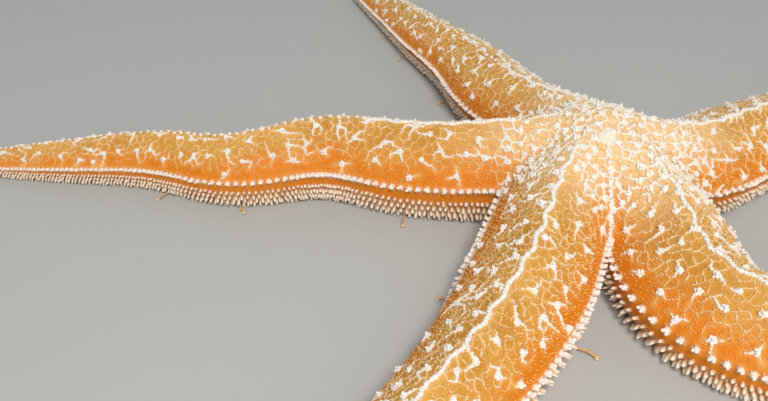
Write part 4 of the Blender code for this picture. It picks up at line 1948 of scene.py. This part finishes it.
@dataclass
class Gills:
    """Soft gills between the net's bars, strewn over the back in places, sizes and directions."""

    ground: Ground
    draw: np.random.Generator
    count: int = 14000
    length: float = 0.00072
    radius: float = 0.00036
    sizes: tuple[float, float] = (0.6, 1.2)
    stray: float = 0.0003
    sway: float = 0.20
    lowest_girth: float = 3.0
    most_net: float = 0.35

    def grow(self, spots: Spots, net: Array) -> Growth:
        """Scatters gills over the back.

        Args:
            spots: The place of each of the skin's vertices.
            net: How much of the net lies at each.

        Returns:
            The gills.
        """
        usable = np.flatnonzero((spots.girth < self.lowest_girth) & (net < self.most_net))
        chosen = self.draw.choice(usable, min(self.count, len(usable)), replace=False)
        picked = spots.pick(chosen)
        points = self.ground.corners[chosen] + self.draw.normal(0.0, self.stray, (len(chosen), 3))
        roots, normals = self.ground.settle(points)
        directions = unit(normals + self.draw.normal(0.0, self.sway, roots.shape))
        sides = unit(np.cross(directions, self.draw.normal(0.0, 1.0, roots.shape)))
        scale = FORM.scale(picked.station) * self.draw.uniform(*self.sizes, len(chosen))
        radii = self.radius * scale
        grown = Growth(Form.GILL)
        grown.stand(roots, directions, self.length * scale, sides, radii, radii, picked,
                    np.zeros(len(chosen)))
        return grown


@dataclass
class Feet:
    """Tube feet: four rows in every groove, and a few that reach out from under the margins.

    The outer sides are shares of the half width at which a reaching foot leaves its groove and
    passes the margin, and the outer ups its heights there, at full size.
    """

    body: Body
    ground: Ground
    draw: np.random.Generator
    radius: float = 0.00068
    floor_gap: float = 0.0003
    root_depth: float = 0.0006
    stray: float = 0.0012
    splay: float = 0.0008
    knots: int = 5
    outer_count: int = 3
    outer_reach: float = 0.0045
    outer_stations: tuple[float, float] = (0.055, 0.185)
    outer_radius: float = 0.8
    outer_girth: float = 6.2
    outer_slant: float = 0.0015
    outer_sides: tuple[float, float, float] = (0.3, 0.75, 1.08)
    outer_ups: tuple[float, float, float, float] = (0.0016, 0.0010, 0.0018, 0.0022)

    def grow(self, lines: Lines) -> Growth:
        """Makes all feet.

        Args:
            lines: Where the plates of each line sit.

        Returns:
            The feet.
        """
        grown = Growth(Form.FOOT)
        heads = Spots.join([lines.spots(line) for line in FOOT_LINES])
        roots, normals = self.ground.settle(self.body.surface(heads))
        self.add_bent(grown, heads, roots - normals * self.root_depth, normals)
        self.add_outer(grown)
        return grown

    def add_bent(self, grown: Growth, spots: Spots, roots: Array, normals: Array) -> None:
        """Adds feet that leave their roots square to the skin and stand on the floor.

        Args:
            grown: What they are added to.
            spots: Where they stand.
            roots: Their roots, in the skin.
            normals: The skin's normals there.
        """
        count = len(roots)
        scale = FORM.scale(spots.station)[:, None]
        reach = self.draw.normal(0.0, self.stray, (count, 3)) * scale
        ends = roots + reach + self.body.outward(spots) * (self.splay * scale)
        ends[:, 2] = self.floor_gap
        first = roots + normals * ((roots[:, 2:] - self.floor_gap) * 0.35)
        last = ends + UP * ((roots[:, 2:] - self.floor_gap) * 0.45)
        paths = np.stack([bezier(roots, first, last, ends, share)
                          for share in np.linspace(0.0, 1.0, self.knots)], 1)
        widths = self.radius * scale[:, 0] * self.draw.uniform(0.85, 1.15, count)
        grown.add(paths, self.body.across(spots), widths, widths, spots, np.zeros(count))

    def add_outer(self, grown: Growth) -> None:
        """Adds long feet that come out under the margins and hold on to the floor.

        Args:
            grown: What they are added to.
        """
        for arm, course in enumerate(self.body.courses):
            for sign in (1.0, -1.0):
                stations = self.draw.uniform(*self.outer_stations, self.outer_count)
                scale = FORM.scale(stations)
                half = course.half_width(stations)
                reach = self.outer_reach * scale * self.draw.uniform(0.5, 1.3, self.outer_count)
                sides = [half * share for share in self.outer_sides]
                sides += [sides[-1] + reach * 0.8, sides[-1] + reach]
                ups = [up * scale for up in self.outer_ups]
                ups.append(np.full(self.outer_count, self.floor_gap))
                path = np.stack([course.place(stations, side * sign, up)
                                 for side, up in zip(sides, ups)], 1)
                slant = self.draw.normal(0.0, self.outer_slant, (self.outer_count, 1, 1))
                drift = np.linspace(0.0, 1.0, self.knots)[None, :, None] ** 2
                path = path + course.forward(stations)[:, None] * slant * drift
                spots = Spots(np.full(self.outer_count, arm), stations,
                              np.full(self.outer_count, sign),
                              np.full(self.outer_count, self.outer_girth))
                widths = self.radius * self.outer_radius * scale
                grown.add(path, course.forward(stations), widths, widths, spots,
                          np.zeros(self.outer_count))


def bezier(start: Array, first: Array, last: Array, end: Array, share: float) -> Array:
    """Points of a curve from start to end that leaves towards first and comes in from last.

    Args:
        start: The first points.
        first: Where the curves head from there.
        last: Where they come in from.
        end: The last points.
        share: How far along the curves, from 0 to 1.

    Returns:
        The points.
    """
    rest = 1.0 - share
    return (start * rest**3 + first * (3.0 * rest**2 * share) + last * (3.0 * rest * share**2)
            + end * share**3)


@dataclass
class NetSpines:
    """Small spines on the faint bars, thick white chains on the strong ones, and heads.

    Chains run from their head's size down by the taper, and pale into the skin by the paling.
    """

    net: BackNet
    ground: Ground
    draw: np.random.Generator
    grain_pitch: float = 0.00094
    grain_length: float = 0.00072
    grain_radius: float = 0.00042
    grain_least: float = 0.24
    chain_pitch: float = 0.00058
    chain_stray: float = 0.00012
    knob_length: float = 0.00078
    knob_radius: float = 0.00062
    taper: float = 0.64
    head_length: float = 0.00150
    head_radius: float = 0.00044
    wreath_count: int = 5
    wreath_reach: float = 0.00060
    grain_stray: float = 0.00010
    sway: float = 0.14
    lengths: tuple[float, float] = (0.75, 1.2)
    radii: tuple[float, float] = (0.82, 1.18)
    chain_end: float = 0.95
    first_size: float = 1.12
    paling: float = 0.55

    def stand(self, growth: Growth, points: Array, spots: Spots, length: Array | float,
              radius: Array | float, white: Array) -> None:
        """Stands spines at points of the skin, nearly square to it.

        Args:
            growth: What they are added to.
            points: Points near the skin.
            spots: Where on the animal they are.
            length: Lengths at full size.
            radius: Radii at full size.
            white: How white each is.
        """
        roots, normals = self.ground.settle(points)
        count = len(roots)
        scale = FORM.scale(spots.station)
        directions = unit(normals + self.draw.normal(0.0, self.sway, (count, 3)))
        sides = unit(np.cross(directions, self.draw.normal(0.0, 1.0, (count, 3))))
        lengths = length * scale * self.draw.uniform(*self.lengths, count)
        radii = radius * scale * self.draw.uniform(*self.radii, count)
        growth.stand(roots, directions, lengths, sides, radii, radii, spots, np.clip(white, 0.0, 1.0))

    def grow_grains(self, growth: Growth) -> None:
        """Adds a line of small spines along each of the weaker bars.

        Args:
            growth: What they are added to.
        """
        strengths = self.net.strengths
        chosen = np.flatnonzero((strengths < self.net.strong) & (strengths > self.grain_least))
        points, bar, _ = self.net.along(chosen, self.grain_pitch)
        points = points + self.draw.normal(0.0, self.grain_stray, points.shape)
        self.stand(growth, points, self.net.bar_spots.pick(bar), self.grain_length, self.grain_radius,
                   1.3 * strengths[bar] - 0.1)

    def grow_chains(self, growth: Growth) -> None:
        """Adds overlapping white knobs along each strong bar, smaller away from its head.

        Args:
            growth: What they are added to.
        """
        chosen = np.flatnonzero(self.net.strengths >= self.net.strong)
        points, bar, share = self.net.along(chosen, self.chain_pitch)
        ends = self.net.away[bar]
        away = ends[:, 0] * (1.0 - share) + ends[:, 1] * share
        kept = away < self.chain_end
        points, bar, away = points[kept], bar[kept], away[kept]
        size = self.first_size - self.taper * away
        points = points + self.draw.normal(0.0, self.chain_stray, points.shape)
        self.stand(growth, points, self.net.bar_spots.pick(bar), self.knob_length * size,
                   self.knob_radius * size, 1.0 - self.paling * away)

    def grow_heads(self, spines: Growth, wreaths: Growth) -> None:
        """Adds a stout white spine at every head, in a clump of knobs.

        Args:
            spines: What the spines are added to.
            wreaths: What the knobs are added to.
        """
        heads = self.net.heads
        spots = self.net.joint_spots.pick(heads)
        points = self.net.joints[heads]
        self.stand(spines, points, spots, self.head_length, self.head_radius, np.ones(len(heads)))
        _, normals = self.ground.settle(points)
        first = unit(np.cross(normals, self.draw.normal(0.0, 1.0, normals.shape)))
        second = np.cross(normals, first)
        scale = FORM.scale(spots.station)[:, None] * self.draw.uniform(0.8, 1.3, (len(heads), 1))
        for index in range(self.wreath_count):
            turn = math.tau * index / self.wreath_count
            away = first * math.cos(turn) + second * math.sin(turn)
            self.stand(wreaths, points + away * (self.wreath_reach * scale), spots,
                       self.knob_length * 1.15, self.knob_radius, np.ones(len(heads)))


# Single pieces


@dataclass
class SievePlate:
    """The round, furrowed plate on the disc, through which the animal takes in water."""

    body: Body
    radius: float = 0.0025
    depth: float = 0.0008
    top: float = 0.00105
    bearing: float = 259.0
    distance: float = 0.0100
    furrows: int = 23
    furrow_depth: float = 0.00026
    sides: int = 138
    rings: int = 13

    def placing(self) -> Matrix:
        """Puts the plate's own frame on the dome, with Z along the dome's normal.

        Returns:
            The frame's matrix.
        """
        bearing = math.radians(self.bearing)
        outward = Vector((math.cos(bearing), math.sin(bearing), 0.0))
        step = 0.001
        here = float(DOME.height_at(np.array(self.distance)))
        drop = here - float(DOME.height_at(np.array(self.distance + step)))
        normal = (outward * drop + Vector((0.0, 0.0, step))).normalized()
        foot = Vector(self.body.middle) + outward * self.distance + Vector((0.0, 0.0, here))
        turn = Vector((0.0, 0.0, 1.0)).rotation_difference(normal).to_matrix().to_4x4()
        return Matrix.Translation(foot) @ turn

    def build(self) -> bpy.types.Object:
        """Makes the plate, with branching furrows that run out from its middle.

        Returns:
            The linked piece.
        """
        shares = np.linspace(0.0, 1.0, self.rings)[1:]
        rim = [(self.radius * share, self.top * (1.0 - 0.45 * share**3)) for share in shares]
        profile = [(0.0, -self.depth), (self.radius * 1.02, -self.depth),
                   (self.radius * 1.04, self.top * 0.3), *reversed(rim), (0.0, self.top)]
        bm = turned(profile, self.sides)
        corners = np.array([v.co for v in bm.verts])
        share = np.hypot(corners[:, 0], corners[:, 1]) / self.radius
        turn = np.arctan2(corners[:, 1], corners[:, 0])
        bend = 0.5 * np.sin(share * 7.0 + turn * 3.0) * share
        wave = np.where(share > 0.55, np.cos(turn * self.furrows * 2.0 + bend * 3.0),
                        np.cos(turn * self.furrows + bend * 3.0))
        relief = np.where(corners[:, 2] > 0.0, 0.5 + 0.5 * wave, 1.0)
        mask = smoothstep(share / 0.25) * (corners[:, 2] > self.top * 0.45)
        for vertex, lift in zip(bm.verts, (relief - 1.0) * mask * self.furrow_depth):
            vertex.co.z += lift
        made = object_from(bm, "sieve_plate")
        made.data.transform(self.placing())
        made.data.shade_smooth()
        write_floats(made.data, "relief", 1.0 - mask * (1.0 - relief))
        return made


@dataclass
class Mouth:
    """The soft skin about the mouth, puckered into folds, and the opening in its middle.

    Each row of spines on a jaw has a distance from the middle, an angle over the floor and a
    length. The turns are the spines' bearings beside the jaw's, in degrees.
    """

    body: Body
    radius: float = 0.0083
    base: float = 0.0055
    roof: float = 0.0083
    folds: int = 25
    fold_depth: float = 0.00042
    sides: int = 150
    rings: int = 16
    spine_rows: tuple[tuple[float, float, float], ...] = (
        (0.0094, -12.0, 0.0036), (0.0112, -34.0, 0.0032), (0.0134, -55.0, 0.0027))
    spine_turns: tuple[float, ...] = (-19.0, -6.5, 6.5, 19.0)
    spine_root: float = 0.0042
    spine_half_width: float = 0.00060
    spine_half_depth: float = 0.00040
    floor_gap: float = 0.0003

    def build(self) -> bpy.types.Object:
        """Makes the membrane.

        Returns:
            The linked piece.
        """
        shares = np.linspace(0.0, 1.0, self.rings)[1:]
        swell = self.base - 0.0006 * np.sin(shares * math.pi) + 0.0017 * (1.0 - smoothstep(shares / 0.22))
        lower = [(self.radius * share, float(height)) for share, height in zip(shares, swell)]
        profile = [(0.0, self.base + 0.0019), *lower, (self.radius, self.roof), (0.0, self.roof)]
        bm = turned(profile, self.sides)
        corners = np.array([v.co for v in bm.verts])
        share = np.hypot(corners[:, 0], corners[:, 1]) / self.radius
        turn = np.arctan2(corners[:, 1], corners[:, 0])
        wave = np.cos(turn * self.folds + 0.6 * np.sin(turn * 5.0))
        under = corners[:, 2] < self.roof - 1e-5
        mask = smoothstep(share / 0.12) * (1.0 - 0.7 * smoothstep((share - 0.35) / 0.6)) * under
        rings = np.cos(share * 40.0) * 0.25 * under * smoothstep((share - 0.3) / 0.2)
        for vertex, lift in zip(bm.verts, (wave * mask + rings) * self.fold_depth):
            vertex.co.z += lift
        made = object_from(bm, "mouth_membrane")
        made.data.transform(Matrix.Translation(self.body.middle))
        made.data.shade_smooth()
        relief = (0.5 - 0.5 * wave * mask) * smoothstep(share / 0.2)
        write_floats(made.data, "relief", relief)
        return made

    def spines(self, draw: np.random.Generator) -> Growth:
        """Flat spines on the jaws, which point over the mouth between the arms.

        Args:
            draw: The source of random numbers.

        Returns:
            The spines.
        """
        bearings = np.sort([plan.bearing % 360.0 for plan in ARM_PLANS])
        gaps = np.diff(np.append(bearings, bearings[0] + 360.0))
        middles = np.radians(bearings + gaps / 2)
        grown = Growth(Form.BLUNT)
        count = len(self.spine_turns)
        for jaw in middles:
            for row, (distance, rise, length) in enumerate(self.spine_rows):
                turns = jaw + np.radians(self.spine_turns) * (1.0 - row * 0.22)
                inward = -np.stack([np.cos(turns), np.sin(turns), np.zeros(count)], -1)
                inward = inward * 0.75 + -np.array([math.cos(jaw), math.sin(jaw), 0.0]) * 0.25
                angle = np.radians(rise + draw.normal(0.0, 4.0, count))
                directions = unit(inward) * np.cos(angle)[:, None] + UP * np.sin(angle)[:, None]
                roots = self.body.middle - inward * distance
                roots[:, 2] = self.spine_root
                free = (self.spine_root - self.floor_gap) / np.maximum(-directions[:, 2], 1e-6)
                lengths = np.minimum(length * draw.uniform(0.9, 1.1, count), free)
                grown.stand(roots, directions, lengths, unit(np.cross(directions, UP)),
                            np.full(count, self.spine_half_width), np.full(count, self.spine_half_depth),
                            self.body.locate(roots), np.full(count, 0.6))
        return grown


@dataclass
class ArmEnds:
    """The blunt plate at the tip of every arm, its ring of spines and the red eyespot below."""

    body: Body
    length: float = 0.0032
    fit: float = 0.97
    room: float = 0.0002
    knob_height: float = 0.00022
    eye_radius: float = 0.00075
    eye_shape: tuple[float, float, float] = (1.25, 0.8, 0.9)
    spine_length: float = 0.0009
    spine_radius: float = 0.00027

    def frame_at(self, course: Course) -> tuple[Array, Array, Array]:
        """Finds the place of an arm's end plate.

        Args:
            course: The arm's course.

        Returns:
            The plate's middle, its axes as rows, and its half size along each.
        """
        station = np.array(FORM.length - self.length + self.room)
        half_width = float(course.half_width(station)) * self.fit
        half_height = float(course.height(station)) / 2 * self.fit
        middle = course.place(station, course.shift(station, 0.5), FORM.sole(station) + half_height)
        axes = np.array([course.leftward(station), UP, course.forward(station)])
        return middle, axes, np.array([half_width, half_height, self.length])

    def placing(self, middle: Array, axes: Array, sizes: Sequence[float]) -> Matrix:
        """The matrix that sets a ball of radius 1 at a place, along these axes."""
        turn = Matrix(axes.tolist()).transposed().to_4x4()
        return Matrix.Translation(middle) @ turn @ Matrix.Diagonal((*sizes, 1.0))

    def finished(self, joined: bmesh.types.BMesh, name: str,
                 ripples: tuple[float, float]) -> bpy.types.Object:
        """Turns the joined ends into a piece.

        Args:
            joined: The bmesh.
            name: The piece's name.
            ripples: How fast its colour changes along X and Y.

        Returns:
            The linked piece.
        """
        made = object_from(joined, name)
        made.data.shade_smooth()
        points = read_points(made.data)
        waves = np.sin(points[:, 0] * ripples[0]) * np.sin(points[:, 1] * ripples[1])
        write_floats(made.data, "relief", 0.5 + 0.5 * waves)
        return made

    def plates(self) -> bpy.types.Object:
        """Makes the five plates as one piece, each covered in low knobs.

        Returns:
            The linked piece.
        """
        joined = bmesh.new()
        for course in self.body.courses:
            middle, axes, sizes = self.frame_at(course)
            bm = bmesh.new()
            bmesh.ops.create_uvsphere(bm, u_segments=40, v_segments=26, radius=1.0)
            for vertex in bm.verts:
                x, y, z = vertex.co
                knob = math.sin(x * 9.0) * math.sin(y * 9.0 + 1.0) * math.sin(z * 8.0 + 0.5)
                vertex.co *= 1.0 + knob * self.knob_height / sizes[0]
            bmesh.ops.transform(bm, matrix=self.placing(middle, axes, sizes), verts=bm.verts)
            part = bpy.data.meshes.new("end")
            bm.to_mesh(part)
            bm.free()
            joined.from_mesh(part)
            bpy.data.meshes.remove(part)
        bmesh.ops.recalc_face_normals(joined, faces=joined.faces)
        return self.finished(joined, "end_plates", (4100.0, 4300.0))

    def eyes(self) -> bpy.types.Object:
        """Makes the five red eyespots as one piece, each at the foot of its end plate.

        Returns:
            The linked piece.
        """
        joined = bmesh.new()
        for course in self.body.courses:
            middle, axes, sizes = self.frame_at(course)
            spot = middle + axes[2] * (self.length * 0.66) - UP * (sizes[1] * 0.72)
            bmesh.ops.create_uvsphere(joined, u_segments=20, v_segments=12, radius=self.eye_radius,
                                      matrix=self.placing(spot, axes, self.eye_shape))
        return self.finished(joined, "eyespots", (9000.0, 9000.0))

    def spines(self, draw: np.random.Generator) -> Growth:
        """Small blunt spines round the rim and over the top of every end plate.

        Args:
            draw: The source of their lengths.

        Returns:
            The spines.
        """
        grown = Growth(Form.BLUNT)
        rim, top = np.arange(-20.0, 201.0, 22.0), np.arange(10.0, 171.0, 40.0)
        turns = np.radians(np.concatenate([rim, top]))
        ahead = np.concatenate([np.full(len(rim), 0.35), np.full(len(top), 0.80)])
        around = np.sqrt(1.0 - ahead**2)
        local = np.stack([np.cos(turns) * around, np.sin(turns) * around, ahead], -1)
        count = len(local)
        for arm, course in enumerate(self.body.courses):
            middle, axes, sizes = self.frame_at(course)
            roots = middle + (local * sizes) @ axes
            directions = unit((local / sizes) @ axes + axes[2] * 120.0)
            lengths = self.spine_length * draw.uniform(0.85, 1.15, count)
            spots = Spots(np.full(count, arm), np.full(count, FORM.length - 0.002),
                          np.sign(local[:, 0] + 1e-9), np.clip(3.0 - 3.0 * local[:, 1], 0.0, 5.0))
            radii = np.full(count, self.spine_radius)
            grown.stand(roots, directions, lengths, unit(np.cross(directions, axes[2] + 0.01)),
                        radii, radii, spots, np.full(count, 0.95))
        return grown


def dress(made: bpy.types.Object, finish: bpy.types.Material) -> bpy.types.Object:
    """Gives a piece its material and slot, and sets it on the body.

    Args:
        made: The piece.
        finish: Its material.

    Returns:
        The same piece.
    """
    made.data.materials.clear()
    made.data.materials.append(finish)
    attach(made, BODY)
    triangles = sum(len(face.vertices) - 2 for face in made.data.polygons)
    log.info("%s: %d triangles", made.name, triangles)
    return made


# The view, the floor and the light


@dataclass(frozen=True)
class Lamp:
    """A soft round lamp: its place, its width, its power in watts and its colour."""

    name: str
    place: tuple[float, float, float]
    size: float
    power: float
    tint: tuple[float, float, float]

    def hang(self, aim: Array) -> None:
        """Hangs it.

        Args:
            aim: What it is turned to.
        """
        data = bpy.data.lights.new(self.name, "AREA")
        data.shape = "DISK"
        data.size = self.size
        data.energy = self.power
        data.color = self.tint
        made = linked(data, self.name)
        made.location = self.place
        made.rotation_euler = (Vector(aim) - Vector(self.place)).to_track_quat("-Z", "Y").to_euler()


@dataclass(frozen=True)
class Studio:
    """The camera at the photograph's view, a plain pale floor and soft light."""

    camera_offset: tuple[float, float, float] = (-0.0690, -0.1966, 0.1531)
    pitch: float = 37.48
    image_width: int = 768
    focal_pixels: float = 732.1
    sensor: float = 36.0
    floor_size: float = 4.0
    floor_tone: tuple[float, float, float, float] = (0.50, 0.50, 0.485, 1.0)
    sky: tuple[float, float, float, float] = (0.86, 0.91, 0.95, 1.0)
    sky_strength: float = 0.24
    lamps: tuple[Lamp, ...] = (
        Lamp("key", (0.03, -0.50, 0.68), 0.30, 4.9, (1.0, 0.985, 0.95)),
        Lamp("front", (-0.15, -1.60, 0.50), 0.80, 5.4, (1.0, 0.98, 0.94)),
        Lamp("fill", (0.75, 0.15, 0.60), 0.80, 1.0, (0.95, 0.98, 1.0)),
        Lamp("back", (-0.55, 0.75, 0.55), 0.80, 1.5, (0.92, 0.97, 1.0)),
    )

    def camera(self, middle: Array) -> None:
        """Sets the camera over the disc's centre, looking along +Y and down.

        Args:
            middle: The disc's centre.
        """
        data = bpy.data.cameras.new("view")
        data.sensor_width = self.sensor
        data.lens = self.focal_pixels / self.image_width * self.sensor
        data.clip_start = 0.01
        made = linked(data, "view")
        made.location = Vector(middle) + Vector(self.camera_offset)
        made.rotation_euler = (math.radians(90.0 - self.pitch), 0.0, 0.0)
        bpy.context.scene.camera = made

    def floor(self) -> None:
        """Lays the floor."""
        bm = bmesh.new()
        bmesh.ops.create_grid(bm, x_segments=1, y_segments=1, size=self.floor_size / 2)
        made = object_from(bm, "floor")
        g = Graph("floor_finish")
        made.data.materials.append(g.finish(Base_Color=self.floor_tone, Roughness=0.8))

    def build(self, middle: Array) -> None:
        """Makes all of it.

        Args:
            middle: The disc's centre.
        """
        self.camera(middle)
        self.floor()
        for lamp in self.lamps:
            lamp.hang(middle)
        world = bpy.data.worlds.new("studio")
        world.use_nodes = True
        background = world.node_tree.nodes["Background"].inputs
        background["Color"].default_value = self.sky
        background["Strength"].default_value = self.sky_strength
        bpy.context.scene.world = world
        bpy.context.scene.view_settings.view_transform = "Standard"


def build_skin(body: Body, lines: Lines) -> tuple[bpy.types.Object, Spots, BackNet]:
    """Makes the skin and weaves its net.

    Args:
        body: The animal's plan.
        lines: Its lines of plates.

    Returns:
        The dressed skin, the place of each of its vertices, and the net.
    """
    shape = Skin(body)
    skin = shape.build()
    spots = body.locate(read_points(skin.data))
    net = BackNet(body, np.random.default_rng(NET_SEED))
    net.weave(skin, spots)
    crest = body.surface(Spots.join([lines.spots(line)
                                     for line in (RIDGE_LINE, CLIMB_LINE, UPPER_LINE)]))
    shape.emboss(skin, spots, *net.samples(), crest)
    flesh = [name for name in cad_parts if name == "disc" or name.startswith("arm_")]
    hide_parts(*flesh)
    dress(skin, SkinFinish().build())
    return skin, spots, net


def build_coat(body: Body, lines: Lines, skin: bpy.types.Object, spots: Spots, net: BackNet) -> None:
    """Grows everything that stands on the skin.

    Args:
        body: The animal's plan.
        lines: Its lines of plates.
        skin: The finished skin.
        spots: The place of each of its vertices.
        net: The net on its back.
    """
    ground = Ground(skin.data)
    draw = np.random.default_rng(COAT_SEED)
    bone = HardFinish("spine_finish").build()
    bead = HardFinish("bead_finish", root=colour(240, 188, 140), root_share=0.6,
                      plain=colour(244, 212, 180), tip=colour(251, 246, 240), high=0.6).build()
    grain_bone = HardFinish("grain_finish", root_share=0.35, plain=colour(238, 188, 112),
                            tip=colour(250, 236, 208)).build()
    comb_bone = HardFinish("comb_finish", root=colour(226, 172, 118), root_share=0.7,
                           plain=colour(230, 196, 156), tip=colour(250, 240, 224), low=0.1,
                           high=0.95).build()
    net.grow(ground).dress("back_net", BarFinish().build(), draw)
    rows = Rows(body, ground, draw)
    plates = Growth(Form.PLATE)
    ridge_heads = Spots.join([lines.spots(RIDGE_LINE), lines.spots(CLIMB_LINE)])
    upper_heads = lines.spots(UPPER_LINE)
    ridge, upper, wreath = Growth(Form.KNOB), Growth(Form.BLUNT), Growth(Form.GRAIN)
    rows.bosses(ridge_heads, RIDGE_BOSS, 1.0, ridge, swell=0.22)
    rows.bosses(upper_heads, UPPER_BOSS, 0.6, plates)
    plates.dress("row_plates", bead, draw)
    rows.grow(ridge_heads, RIDGE_SPINES, ridge)
    rows.grow(upper_heads, UPPER_SPINES, upper)
    rows.grow(upper_heads, UPPER_WREATH, wreath)
    ridge.dress("ridge_spines", bone, draw)
    upper.dress("upper_spines", bead, draw)
    wreath.dress("upper_wreaths", bead, draw)
    comb, cushions, sole = Growth(Form.POINT), Growth(Form.GRAIN), Growth(Form.POINT)
    for line, rise, length in COMB_LINES:
        heads = lines.spots(line)
        spine = Tuft(ALONE, length, COMB_RADIUS, 0.9, rise, white=0.8, rise_spread=6.0)
        rows.grow(heads, spine, comb)
        cushion = Tuft(ALONE, CUSHION_LENGTH, CUSHION_RADIUS, 0.9, rise, white=0.2)
        rows.grow(heads, cushion, cushions)
    for line, rise, length in SOLE_LINES:
        spine = Tuft(ALONE, length, SOLE_RADIUS, 0.75, rise, white=0.5)
        rows.grow(lines.spots(line), spine, sole)
    comb.dress("comb_spines", comb_bone, draw)
    cushions.dress("comb_cushions", comb_bone, draw)
    sole.dress("sole_spines", comb_bone, draw)
    small = NetSpines(net, ground, draw)
    grains, chains, heads = Growth(Form.GRAIN), Growth(Form.KNOB), Growth(Form.BLUNT)
    small.grow_grains(grains)
    small.grow_chains(chains)
    small.grow_heads(heads, chains)
    grains.dress("net_grains", grain_bone, draw)
    chains.dress("white_chains", bone, draw)
    heads.dress("white_heads", bone, draw)
    stored = np.zeros(len(skin.data.vertices), np.float32)
    skin.data.attributes["net"].data.foreach_get("value", stored)
    Gills(ground, draw).grow(spots, stored).dress("gills", GillFinish().build(), draw)
    Feet(body, ground, draw).grow(lines).dress("tube_feet", FootFinish().build(), draw)
    mouth, ends = Mouth(body), ArmEnds(body)
    mouth.spines(draw).dress("mouth_spines", comb_bone, draw)
    ends.spines(draw).dress("tip_spines", bone, draw)


def build_plates(body: Body) -> None:
    """Makes the single pieces that take the place of the plates and the mouth.

    Args:
        body: The animal's plan.
    """
    sieve = SievePlate(body).build()
    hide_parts("madreporite")
    finish = PlateFinish("sieve_finish", colour(230, 200, 160), colour(252, 249, 243), 0.45)
    dress(sieve, finish.build())
    mouth = Mouth(body).build()
    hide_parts("mouth")
    finish = PlateFinish("mouth_finish", colour(150, 84, 54), colour(232, 184, 150), 0.35, 700.0)
    dress(mouth, finish.build())
    ends = ArmEnds(body)
    tips = ends.plates()
    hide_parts(*(f"end_plate_{plan.name}" for plan in ARM_PLANS))
    finish = PlateFinish("end_plate_finish", colour(226, 160, 106), colour(248, 226, 196))
    dress(tips, finish.build())
    eyes = ends.eyes()
    finish = PlateFinish("eye_finish", colour(96, 8, 8), colour(196, 30, 22), 0.2)
    dress(eyes, finish.build())


def main() -> None:
    """Builds the sea star's looks, piece by piece."""
    logging.basicConfig(level=logging.INFO, format="%(name)s %(message)s")
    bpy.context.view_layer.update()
    low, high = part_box("mouth")
    middle = np.array([(low.x + high.x) / 2, (low.y + high.y) / 2, 0.0])
    Studio().build(middle)
    body = Body(middle)
    lines = Lines(body)
    skin, spots, net = build_skin(body, lines)
    build_coat(body, lines, skin, spots, net)
    build_plates(body)


if __name__ == "__main__":
    main()
